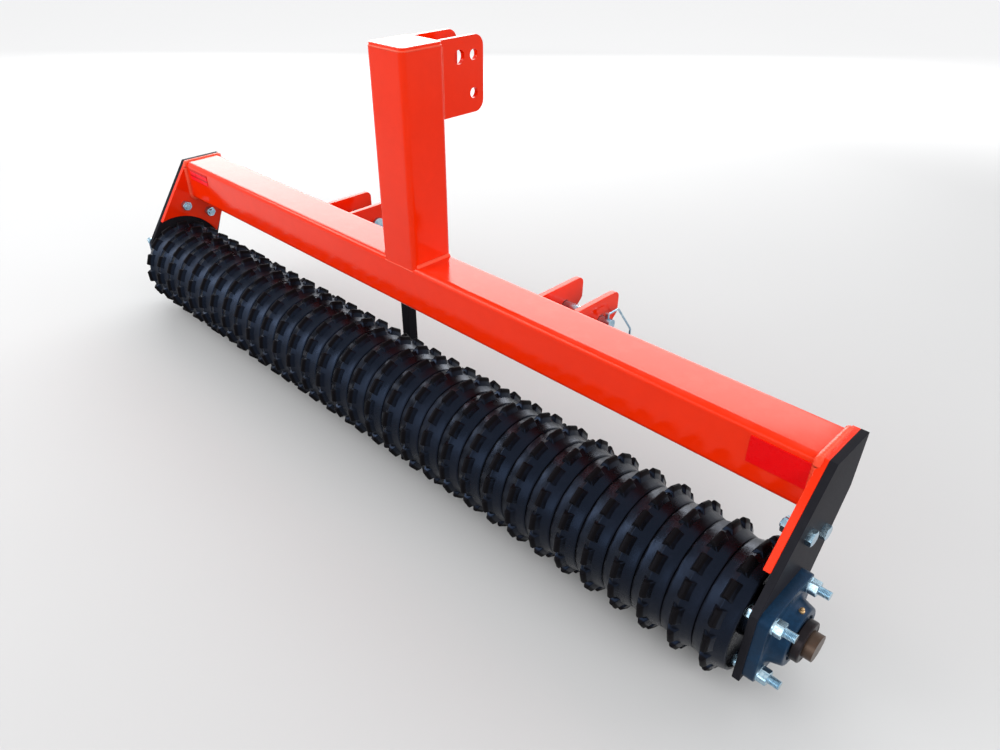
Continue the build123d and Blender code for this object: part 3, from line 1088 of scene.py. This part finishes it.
@dataclass
class Hitch:
    """The lower hitch ears with their pins and wire locks."""

    shop: Workshop
    at: Layout
    spread: float = 690.0
    ear_gap: float = 76.2
    ear_t: float = 12.7
    ear_drop: float = 6.0
    ear_height: float = 108.0
    bead: WeldBead = WeldBead(4.0)
    bead_ends: Span = (2.0, 1.0)

    def build_ears(self) -> None:
        """Makes the four ears and the beads that hold them."""
        bm = bmesh.new()
        top = self.at.tube_top - self.ear_drop
        low = top - self.ear_height + self.at.tube_corner
        ends = (top - self.bead_ends[0], low + self.bead_ends[1])
        for side in Side:
            for place, away in (("inner", -1), ("outer", 1)):
                node = f"hitch_ear_{side.word}_{place}"
                self.shop.eased(node, f"ear_{side.word}_{place}", Body.FRAME, Look.ORANGE, 1.3)
                near = side.sign * (self.spread / 2 + away * self.ear_gap / 2)
                for x in (near, near + side.sign * away * self.ear_t):
                    self.bead.lay(bm, upright(x, self.at.front_weld, ends))
        self.shop.beads(bm, "ear_welds")

    def build_pins(self) -> None:
        """Makes the pins and their locks."""
        for side in Side:
            self.shop.eased(f"hitch_pin_{side.word}", f"pin_{side.word}", Body.FRAME, Look.ZINC, 1.4, 3)
            self.shop.eased(f"wire_lock_{side.word}", f"lock_{side.word}", Body.FRAME, Look.ZINC, 0.6)

    def build(self) -> None:
        """Builds the sub-assembly."""
        self.build_ears()
        self.build_pins()


@dataclass(frozen=True)
class HexFastener:
    """A hex bolt along X: head, washer, chamfered nut and threaded tail, from its head's seat at X 0."""

    radius: float = 7.94
    across: float = 23.8
    nut_t: float = 13.9
    head_t: float = 9.9
    head_turn: float = 11.0
    face_share: float = 0.94
    chamfer: float = 28.0
    hexagon_parts: int = 36
    washer_r: float = 13.6
    washer_t: float = 3.0
    washer_edge: float = 0.5
    washer_facets: int = 32
    tail: float = 18.0
    tail_lap: float = 1.0
    thread_pitch: float = 1.95
    thread_depth: float = 0.95
    thread_drop: float = 0.5
    crest: Span = (0.42, 0.58)
    thread_facets: int = 18

    def hexagon(self, bm: bmesh.types.BMesh, start: float, thickness: float, turn: float) -> None:
        """Adds a hexagon with a chamfered outer end.

        Args:
            bm: The mesh that gets it.
            start: X of the seat, in millimetres.
            thickness: Its length along X; negative runs towards -X.
            turn: Its turn about X in degrees.
        """
        flat = self.across / 2
        face_r = flat * self.face_share
        slope = math.tan(math.radians(self.chamfer))
        way = 1 if thickness > 0 else -1
        made = bmesh.ops.create_circle(bm, cap_ends=True, radius=flat * MM, segments=self.hexagon_parts)
        base = made["verts"]
        bmesh.ops.transform(bm, matrix=Matrix.Rotation(math.radians(90), 4, "Y"), verts=base)
        for vert in base:
            angle = math.atan2(vert.co.z, vert.co.y) - math.radians(turn)
            reach = 1 / math.cos((angle + math.pi / 6) % (math.pi / 3) - math.pi / 6)
            vert.co = Vector((start * MM, vert.co.y * reach, vert.co.z * reach))
        wall = bmesh.ops.extrude_face_region(bm, geom=[base[0].link_faces[0]])["geom"]
        for vert in (g for g in wall if isinstance(g, bmesh.types.BMVert)):
            drop = (math.hypot(vert.co.y, vert.co.z) / MM - face_r) * slope
            vert.co.x = (start + way * (abs(thickness) - drop)) * MM
        top = [g for g in wall if isinstance(g, bmesh.types.BMFace)]
        crown = bmesh.ops.extrude_face_region(bm, geom=top)["geom"]
        for vert in (g for g in crown if isinstance(g, bmesh.types.BMVert)):
            shrink = face_r * MM / math.hypot(vert.co.y, vert.co.z)
            vert.co = Vector(((start + thickness) * MM, vert.co.y * shrink, vert.co.z * shrink))
        bmesh.ops.delete(bm, geom=top, context="FACES_ONLY")

    def threads(self, bm: bmesh.types.BMesh, start: float, end: float) -> None:
        """Adds a threaded rod.

        Args:
            bm: The mesh that gets it.
            start: Where it starts along X, in millimetres.
            end: Where it ends.
        """
        count = int((end - start) / self.thread_pitch)
        pitch = (end - start) / count
        crest = self.radius - self.thread_drop
        root = crest - self.thread_depth
        profile = [(start, 0.0), (start, root)]
        for k in range(count):
            profile += [(start + pitch * (k + part), crest) for part in self.crest]
            profile += [(start + pitch * (k + 1), root)]
        profile += [(end, 0.0)]
        turned(bm, profile, self.thread_facets)

    def washer(self, bm: bmesh.types.BMesh, seat: float) -> None:
        """Adds the washer, with its edge broken on the nut's side.

        Args:
            bm: The mesh that gets it.
            seat: X of the face that it lies on, in millimetres.
        """
        r, t, edge = self.washer_r, self.washer_t, self.washer_edge
        steps = ((0.0, 0.0), (0.0, r), (t - edge, r), (t, r - edge), (t, 0.0))
        turned(bm, stepped((seat, 0.0), steps), self.washer_facets)

    def make(self, grip: float, washer: bool, turn: float) -> bmesh.types.BMesh:
        """Makes the whole fastener.

        Args:
            grip: What it clamps, in millimetres.
            washer: Whether a washer lies under the nut.
            turn: The nut's turn in degrees.

        Returns:
            The mesh, head seat at X 0.
        """
        bm = bmesh.new()
        self.hexagon(bm, 0.0, -self.head_t, turn + self.head_turn)
        seat = grip
        if washer:
            ring = bmesh.new()
            self.washer(ring, seat)
            bm = together(bm, ring)
            seat += self.washer_t
        self.hexagon(bm, seat, self.nut_t, turn)
        bmesh.ops.recalc_face_normals(bm, faces=bm.faces[:])
        rod = bmesh.new()
        self.threads(rod, seat + self.nut_t - self.tail_lap, seat + self.nut_t + self.tail)
        return together(bm, rod)


@dataclass
class EndFrames:
    """The orange end plates, the black side plates and the bolts between them."""

    shop: Workshop
    at: Layout
    end_plate_t: float = 12.7
    arch_r: float = 127.0
    bolt_out: float = 31.0
    bolt_angles: Span = (75.5, 49.0)
    turns: Span = (8.0, 24.0)
    bolt_sharp: float = 24.0
    fastener: HexFastener = HexFastener(tail=3.0)
    bead: WeldBead = WeldBead(6.4, wobble=0.05, ripple=7.0, sides=12)
    bead_drop: float = 3.2
    drop_band: float = 2.0

    def build_plates(self) -> None:
        """Makes the plates with rounded edges."""
        eased = self.shop.eased
        for side in Side:
            word = side.word
            eased(f"end_plate_{word}", f"arched_plate_{word}", Body.FRAME, Look.ORANGE, 1.5, 3)
            eased(f"side_plate_{word}", f"bearing_plate_{word}", Body.FRAME, Look.BLACK, 1.2)

    def build_bolts(self) -> None:
        """Makes the plate bolts."""
        a = self.at
        reach = self.arch_r + self.bolt_out
        for side in Side:
            flip = Matrix.Diagonal((-side.sign, 1, 1, 1))
            parts = []
            for angle, turn in zip(map(math.radians, self.bolt_angles), self.turns):
                y, z = reach * math.cos(angle), reach * math.sin(angle)
                bolt = self.fastener.make(self.end_plate_t + a.side_plate_t, False, turn)
                parts.append((bolt, a.from_axle(side, a.side_plate_out, y, z) @ flip))
            self.shop.formed(
                parts, f"plate_fasteners_{side.word}", Body.FRAME, Look.ZINC, f"plate_bolts_{side.word}",
                self.bolt_sharp,
            )

    def build_welds(self) -> None:
        """Lays the bead where the toolbar meets each end plate, lower along the top."""
        a = self.at
        bm = bmesh.new()
        for side in Side:
            x = side.sign * (a.tube_half_length - a.weld_lift)
            loop = round_square(
                Vector((x, a.tube_y, a.tube_z)), Vector((0, 1, 0)), Vector((0, 0, 1)),
                a.tube_half + a.weld_lift, a.tube_corner,
            )
            band = a.tube_top - self.drop_band
            low = [p - Vector((0, 0, self.bead_drop if p.z > band else 0)) for p in loop]
            self.bead.lay(bm, low, closed=True)
        self.shop.beads(bm, "toolbar_end_welds")

    def build(self) -> None:
        """Builds the sub-assembly."""
        self.build_plates()
        self.build_bolts()
        self.build_welds()


@dataclass
class Bearings:
    """The cast flange bearings with grease nipples, bolts and locking collars."""

    shop: Workshop
    at: Layout
    bolt_spacing: float = 107.95
    flange_side: float = 142.95
    flange_t: float = 18.0
    flange_corner: float = 17.5
    corner_strips: int = 6
    flange_edge: float = 1.4
    housing_r: float = 56.0
    housing_top_r: float = 49.5
    housing_depth: float = 43.0
    housing_facets: int = 56
    boss_sink: float = 6.0
    lip_in: float = 0.6
    collar_r: float = 34.5
    collar_t: float = 14.5
    collar_gap: float = 0.5
    collar_facets: int = 48
    screw_turn: float = 64.0
    screw_share: float = 0.38
    screw_sink: float = 0.9
    screw_facets: int = 14
    journal_r: float = 22.2
    journal_gap: float = 0.3
    nipple_place: float = 34.0
    nipple_facets: int = 18
    turns: tuple[float, ...] = (6.0, 22.0, 14.0, 27.0)
    fastener: HexFastener = HexFastener()
    root_steps: tuple[Span, ...] = ((-0.2, 5.5), (1.2, 2.6), (3.6, 0.0), (7.0, -1.6))
    top_steps: tuple[Span, ...] = ((-4.0, 0.9), (-1.6, 0.0), (-0.4, -1.4), (0.0, -3.4))
    groove_steps: tuple[Span, ...] = ((0.0, 4.4), (-1.6, 3.8), (-3.4, 3.6), (-3.4, -2.6), (-0.6, -3.2))
    collar_steps: tuple[Span, ...] = ((-2.2, 0.0), (-1.0, -0.8), (-0.2, -2.4), (-0.2, -5.0), (-0.9, -5.6))
    screw_points: tuple[Span, ...] = (
        (-4.0, 0.0), (-4.0, 4.2), (0.0, 4.2), (0.6, 3.7), (0.6, 2.2), (-1.8, 2.2), (-1.8, 0.0),
    )
    nipple_points: tuple[Span, ...] = (
        (-7.0, 0.0), (-7.0, 3.1), (0.2, 3.1), (0.4, 4.5), (4.2, 4.5), (4.6, 3.4), (5.2, 2.4), (6.6, 2.3),
        (7.2, 3.1), (8.2, 3.0), (8.9, 1.7), (9.0, 0.0),
    )

    def casting(self) -> bmesh.types.BMesh:
        """Makes the housing from its seat outwards.

        Returns:
            The mesh, seat at X 0.
        """
        flange = bmesh.new()
        half, seat, depth = self.flange_side / 2, self.flange_t, self.housing_depth
        block(flange, (0, -half, -half), (seat, half, half))
        soften(flange, running(flange, 0), self.flange_corner, self.corner_strips)
        front = [f for f in flange.faces if f.normal.x > ALONG]
        soften(flange, front[0].edges[:], self.flange_edge)
        bore = self.journal_r + self.journal_gap
        boss = bmesh.new()
        turned(boss, [
            (seat - self.boss_sink, self.housing_r + self.root_steps[0][1]),
            *stepped((seat, self.housing_r), self.root_steps),
            *stepped((depth, self.housing_top_r), self.top_steps),
            *stepped((depth, self.collar_r), self.groove_steps),
            (depth - self.lip_in, bore), (seat - self.boss_sink, bore),
        ], self.housing_facets, closed=True)
        return together(flange, boss)

    def nipple(self) -> bmesh.types.BMesh:
        """Makes a grease nipple that stands upright.

        Returns:
            The mesh, its foot's face at Z 0.
        """
        bm = bmesh.new()
        turned(bm, self.nipple_points, self.nipple_facets)
        bmesh.ops.transform(bm, matrix=UPRIGHT, verts=bm.verts[:])
        return bm

    def collar(self) -> bmesh.types.BMesh:
        """Makes a locking collar with its set screw.

        Returns:
            The mesh, from X 0 outwards.
        """
        ring = bmesh.new()
        r, t, bore = self.collar_r, self.collar_t, self.journal_r
        turned(ring, [
            (0.0, bore), (0.0, r - 1.2), (1.2, r), *stepped((t, r), self.collar_steps),
            *stepped((t, bore), ((-0.9, 1.0), (-1.6, 0.0))),
        ], self.collar_facets, closed=True)
        screw = bmesh.new()
        turned(screw, self.screw_points, self.screw_facets)
        lift = shift(t * self.screw_share, 0, r - self.screw_sink) @ UPRIGHT
        round_axle = Matrix.Rotation(math.radians(self.screw_turn), 4, "X")
        return joined(((ring, Matrix.Identity(4)), (screw, round_axle @ lift)))

    def build_side(self, side: Side) -> None:
        """Builds one end's bearing with what it carries.

        Args:
            side: The end.
        """
        a, shop, word, out = self.at, self.shop, side.word, self.at.side_plate_out
        flip = Matrix.Diagonal((side.sign, 1, 1, 1))
        shop.formed(
            [(self.casting(), a.from_axle(side, out) @ flip)], f"bearing_housing_{word}", Body.FRAME,
            Look.BEARING, f"flange_bearing_{word}", 50,
        )
        shop.formed(
            [(self.nipple(), a.from_axle(side, out + self.nipple_place, z=self.housing_top_r))],
            f"grease_fitting_{word}", Body.FRAME, Look.BRASS, f"grease_nipple_{word}", 30,
        )
        half = self.bolt_spacing / 2
        places = [(y, z) for y in (-half, half) for z in (-half, half)]
        shop.formed(
            [
                (self.fastener.make(a.side_plate_t + self.flange_t, True, turn),
                 a.from_axle(side, a.side_plate_in, y, z) @ flip)
                for (y, z), turn in zip(places, self.turns)
            ],
            f"bearing_fasteners_{word}", Body.FRAME, Look.ZINC, f"bearing_bolts_{word}", 24,
        )
        place = a.from_axle(side, out + self.housing_depth + self.collar_gap)
        shop.formed(
            [(self.collar(), place @ flip)], f"lock_collar_{word}", Body.ROLLER, Look.COLLAR,
            f"locking_collar_{word}", 32,
        )

    def build(self) -> None:
        """Builds the sub-assembly."""
        for side in Side:
            self.build_side(side)


@dataclass
class Roller:
    """The lugged wheels on the square axle."""

    shop: Workshop
    at: Layout
    pitch: float = 57.15
    seam: float = 0.8
    tip_r: float = 120.65
    ridge_r: float = 110.5
    edge_r: float = 101.0
    rim_steps: int = 60
    flank: tuple[Span, ...] = ((0.0, -1.8), (1.1, -0.2), (4.5, 0.5), (11.0, 2.0), (17.0, 4.0), (22.0, 6.1))
    ridge: tuple[Span, ...] = ((-2.4, -1.4), (-0.8, -0.3), (0.0, 0.0))
    lugs: int = 15
    lug_tip: float = 5.5
    lug_foot: float = 26.0
    lug_sink: float = 2.0
    lug_tip_turn: float = 13.4
    lug_root_turn: float = 20.0
    lug_round: float = 2.0
    lug_strips: int = 3
    phase: float = 2.2
    bore_r: float = 33.0
    dish_r: float = 95.3
    dish_hub_r: float = 42.0
    dish_depth: float = 12.5
    dish_slope: float = 2.0
    sharp: float = 50.0
    quarter_turns: tuple[tuple[int, ...], ...] = (
        (2, 3, 3, 3), (2, 0, 2, 3), (3, 0, 0, 1), (0, 1, 0, 3),
        (1, 1, 1, 0), (2, 2, 2, 1), (2, 0, 3, 0), (1, 1, 0, 3),
    )

    def rim(self, dished: bool) -> bmesh.types.BMesh:
        """Makes a wheel's turned body about X.

        Args:
            dished: Whether its +X side has a dish.

        Returns:
            The mesh.
        """
        h = (self.pitch - self.seam) / 2
        bm = bmesh.new()
        crest = stepped((-h, self.edge_r), self.flank) + stepped((0.0, self.ridge_r), self.ridge)
        profile = crest + [(-x, r) for x, r in reversed(crest[:-1])]
        if dished:
            floor = h - self.dish_depth
            profile += [
                (h, self.dish_r), (floor, self.dish_r - self.dish_slope),
                (floor, self.dish_hub_r + self.dish_slope), (h, self.dish_hub_r),
            ]
        profile += [(h, self.bore_r), (-h, self.bore_r)]
        turned(bm, profile, self.rim_steps, closed=True)
        return bm

    def lug(self) -> bmesh.types.BMesh:
        """Makes one blunt lug at the top of a wheel, open underneath where it is cast to the rim.

        Returns:
            The mesh.
        """
        bm = bmesh.new()
        tip_half, root_half = (math.radians(turn / 2) for turn in (self.lug_tip_turn, self.lug_root_turn))
        tip_z = self.tip_r * math.cos(tip_half)
        root_z = self.edge_r - self.lug_sink
        for vert in block(bm, (-0.5, -0.5, root_z), (0.5, 0.5, tip_z)):
            high = vert.co.z > (root_z + tip_z) / 2 * MM
            vert.co.x *= self.lug_tip if high else self.lug_foot
            vert.co.y *= 2 * (self.tip_r * math.sin(tip_half) if high else root_z * math.sin(root_half))
        under = [f for f in bm.faces if f.normal.z < -ALONG]
        bmesh.ops.delete(bm, geom=under, context="FACES_ONLY")
        shown = [e for e in bm.edges if len(e.link_faces) == 2]
        soften(bm, shown, self.lug_round, self.lug_strips)
        return bm

    def build(self) -> None:
        """Builds the eight banks of four wheels, and the axle."""
        plain, dished, lug = self.rim(False), self.rim(True), self.lug()
        count = sum(len(bank) for bank in self.quarter_turns)
        step = math.tau / self.lugs
        for bank, turns in enumerate(self.quarter_turns):
            parts = []
            for place, quarter in enumerate(turns):
                index = bank * len(turns) + place
                spot = shift((index + 0.5 - count / 2) * self.pitch, self.at.axle_y, self.at.axle_z)
                turn = Matrix.Rotation(math.radians(self.phase - 90 + 90 * quarter), 4, "X")
                if index in (0, count - 1):
                    flip = Matrix.Rotation(math.pi if index == 0 else 0.0, 4, "Z")
                    parts.append((dished, spot @ turn @ flip))
                else:
                    parts.append((plain, spot @ turn))
                parts += [(lug, spot @ turn @ Matrix.Rotation(step * k, 4, "X")) for k in range(self.lugs)]
            self.shop.formed(
                parts, f"wheel_bank_{bank + 1}", Body.ROLLER, Look.ROLLER, f"roller_wheels_{bank + 1}",
                self.sharp,
            )
        for bm in (plain, dished, lug):
            bm.free()
        self.shop.eased("roller_axle", "axle_shaft", Body.ROLLER, Look.SHAFT, 1.5, 3)


@dataclass
class ParkingStand:
    """The leg in its sleeve, with the foot and the clamp screw."""

    shop: Workshop
    at: Layout
    stand_x: float = -128.0
    sleeve_side: float = 36.6
    sleeve_height: float = 96.0
    sleeve_drop: float = 38.0
    leg_side: float = 25.4
    foot_t: float = 6.35
    sleeve_bead: WeldBead = WeldBead(3.4)
    sleeve_bead_ends: Span = (3.0, 16.0)
    foot_bead: WeldBead = WeldBead(2.8, ripple=4.5)
    foot_bead_out: float = 0.2
    foot_bead_corner: float = 2.0

    def build(self) -> None:
        """Builds the sub-assembly."""
        shop, front = self.shop, self.at.tube_front
        shop.eased("stand_sleeve", "leg_sleeve", Body.FRAME, Look.ORANGE, 1.0)
        shop.eased("stand_leg", "park_leg", Body.STAND, Look.BLACK, 1.6, 3)
        shop.eased("stand_foot", "park_foot", Body.STAND, Look.BLACK, 1.0)
        shop.eased("clamp_screw", "sleeve_screw", Body.FRAME, Look.ZINC, 0.8)
        bm = bmesh.new()
        top = self.at.tube_top - self.sleeve_drop
        ends = (top - self.sleeve_bead_ends[0], top - self.sleeve_height + self.sleeve_bead_ends[1])
        for sign in (-1, 1):
            x = self.stand_x + sign * self.sleeve_side / 2
            self.sleeve_bead.lay(bm, upright(x, self.at.front_weld, ends))
        shop.beads(bm, "sleeve_welds")
        bm = bmesh.new()
        ring = round_square(
            Vector((self.stand_x, front + self.sleeve_side / 2, self.foot_t)), Vector((1, 0, 0)),
            Vector((0, 1, 0)), self.leg_side / 2 + self.foot_bead_out, self.foot_bead_corner,
        )
        self.foot_bead.lay(bm, ring, closed=True)
        shop.beads(bm, "foot_weld", Body.STAND, Look.BLACK)


@dataclass
class Reflectors:
    """The two reflectors on the toolbar's rear face."""

    shop: Workshop
    edge: float = 0.4

    def build(self) -> None:
        """Builds both reflectors."""
        for side, look in ((Side.RIGHT, Look.RED), (Side.LEFT, Look.BARRED)):
            self.shop.eased(
                f"reflector_{side.word}", f"rear_reflector_{side.word}", Body.FRAME, look, self.edge,
            )


@dataclass(frozen=True)
class Panel:
    """A soft rectangular lamp: place and target in metres, power in watts."""

    name: str
    place: Point
    target: Point
    size: Span
    power: float
    mirrored: bool = True

    def hang(self) -> None:
        """Hangs the lamp, unseen by the camera, and mirrored in glossy surfaces or not."""
        data = bpy.data.lights.new(self.name, "AREA")
        data.shape = "RECTANGLE"
        data.size, data.size_y = self.size
        data.energy = self.power
        made = bpy.data.objects.new(self.name, data)
        bpy.context.scene.collection.objects.link(made)
        made.location = self.place
        aim = Vector(self.target) - Vector(self.place)
        made.rotation_euler = aim.to_track_quat("-Z", "Y").to_euler()
        made.visible_camera = False
        made.visible_glossy = self.mirrored


@dataclass
class Studio:
    """The floor, the light and the camera."""

    position: Point = (1.166943, -0.948767, 1.068446)
    right: Point = (0.7153738, 0.6987346, 0.0032157)
    down: Point = (0.4048914, -0.4107737, -0.8169014)
    ahead: Point = (-0.5694763, 0.5856918, -0.5767684)
    focal_px: float = 770.3061
    centre_px: Span = (495.3974, 403.0971)
    frame_px: tuple[int, int] = (1000, 750)
    sensor_mm: float = 36.0
    clip: Span = (0.05, 60.0)
    floor_size: float = 24.0
    floor_cells: int = 4
    floor_grain: Grain = Grain(0.8, 2.0, 0.5)
    floor_rough: float = 0.85
    floor_sheen: float = 0.1
    soft_light: tuple[Colour, float] = ((0.97, 0.98, 1.0), 0.54)
    backdrop: tuple[Colour, float] = ((0.9, 0.9, 0.9), 1.0)
    far_glow: Colour = (0.58, 0.58, 0.58)
    far_span: Span = (2.5, 4.4)
    panels: tuple[Panel, ...] = (
        Panel("sky_panel", (0.2, -0.6, 3.2), (0.0, 0.0, 0.3), (3.0, 2.4), 4.0, mirrored=False),
        Panel("back_panel", (-2.3, 2.4, 1.85), (0.0, 0.0, 0.4), (5.2, 2.6), 168.0),
        Panel("left_panel", (-2.0, -1.8, 2.0), (0.0, 0.0, 0.3), (2.8, 1.0), 46.0),
        Panel("front_panel", (2.1, 2.2, 2.2), (0.0, 0.0, 0.4), (1.5, 0.8), 14.0),
        Panel("side_fill", (2.8, -0.8, 1.4), (0.0, 0.0, 0.4), (2.4, 1.6), 46.0, mirrored=False),
        Panel("rear_fill", (-0.6, -3.2, 1.3), (0.0, 0.0, 0.4), (4.4, 1.8), 40.0),
    )

    def shown(self, tree: bpy.types.NodeTree) -> bpy.types.NodeSocket:
        """1 for the camera, glossy and transmission rays, which see the pale background.

        Args:
            tree: The node tree that gets the nodes.

        Returns:
            The socket that says so.
        """
        rays = tree.nodes.new("ShaderNodeLightPath")
        seen = rays.outputs["Is Camera Ray"]
        for kind in ("Is Glossy Ray", "Is Transmission Ray"):
            either = tree.nodes.new("ShaderNodeMath")
            either.operation = "MAXIMUM"
            tree.links.new(seen, either.inputs[0])
            tree.links.new(rays.outputs[kind], either.inputs[1])
            seen = either.outputs[0]
        return seen

    def build_floor(self) -> None:
        """Lays the plain pale floor: paler far off, and grey to the light that it throws back."""
        bm = bmesh.new()
        bmesh.ops.create_grid(
            bm, x_segments=self.floor_cells, y_segments=self.floor_cells, size=self.floor_size / 2,
        )
        data = bpy.data.meshes.new("floor")
        bm.to_mesh(data)
        bm.free()
        floor = bpy.data.objects.new("floor", data)
        bpy.context.scene.collection.objects.link(floor)
        shader = Shader("floor_paper")
        tone = shader.mix(shader.noise(self.floor_grain), linear("C2C2C2"), linear("C6C6C6"))
        seen = Signal(shader, self.shown(shader.tree))
        far = seen * shader.reach((0.0, 0.0, 0.0)).above(*self.far_span)
        shader.set(
            Base_Color=shader.mix(seen, linear("6A6866"), tone), Roughness=self.floor_rough,
            Specular_IOR_Level=self.floor_sheen, Emission_Strength=1.0,
            Emission_Color=shader.mix(far, (0.0, 0.0, 0.0), self.far_glow),
        )
        data.materials.append(shader.material)

    def build_world(self) -> None:
        """Sets an even soft light, and the pale backdrop that the camera and mirrors see."""
        world = bpy.data.worlds.new("soft_room")
        bpy.context.scene.world = world
        world.use_nodes = True
        tree = world.node_tree
        tree.nodes.clear()
        light, pale = (tree.nodes.new("ShaderNodeBackground") for _ in range(2))
        for made, (colour, strength) in ((light, self.soft_light), (pale, self.backdrop)):
            made.inputs[0].default_value = (*colour, 1)
            made.inputs[1].default_value = strength
        choice = tree.nodes.new("ShaderNodeMixShader")
        out = tree.nodes.new("ShaderNodeOutputWorld")
        for start, end in (
            (self.shown(tree), choice.inputs[0]), (light.outputs[0], choice.inputs[1]),
            (pale.outputs[0], choice.inputs[2]), (choice.outputs[0], out.inputs[0]),
        ):
            tree.links.new(start, end)

    def build_camera(self) -> None:
        """Sets the camera at the photograph's place and angle."""
        data = bpy.data.cameras.new("view")
        width, height = self.frame_px
        data.sensor_fit = "HORIZONTAL"
        data.sensor_width = self.sensor_mm
        data.lens = self.focal_px * self.sensor_mm / width
        data.shift_x = (width / 2 - self.centre_px[0]) / width
        data.shift_y = (self.centre_px[1] - height / 2) / width
        data.clip_start, data.clip_end = self.clip
        camera = bpy.data.objects.new("view", data)
        bpy.context.scene.collection.objects.link(camera)
        columns = (self.right, [-c for c in self.down], [-c for c in self.ahead])
        turn = Matrix(columns).transposed().to_4x4()
        camera.matrix_world = Matrix.Translation(self.position) @ turn
        bpy.context.scene.camera = camera

    def build(self) -> None:
        """Builds the studio."""
        bpy.context.scene.view_settings.view_transform = "Standard"
        self.build_floor()
        self.build_world()
        for panel in self.panels:
            panel.hang()
        self.build_camera()


def main() -> None:
    """Builds the studio and every sub-assembly."""
    logging.basicConfig(level=logging.INFO, format="%(name)s %(message)s")
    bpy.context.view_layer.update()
    shop = Workshop(Paintbox())
    layout = Layout()
    for part in (
        Studio(), Toolbar(shop, layout), Hitch(shop, layout), EndFrames(shop, layout), Bearings(shop, layout),
        Roller(shop, layout), ParkingStand(shop, layout), Reflectors(shop),
    ):
        part.build()
        LOG.info("%s done", type(part).__name__)


if __name__ == "__main__":
    main()
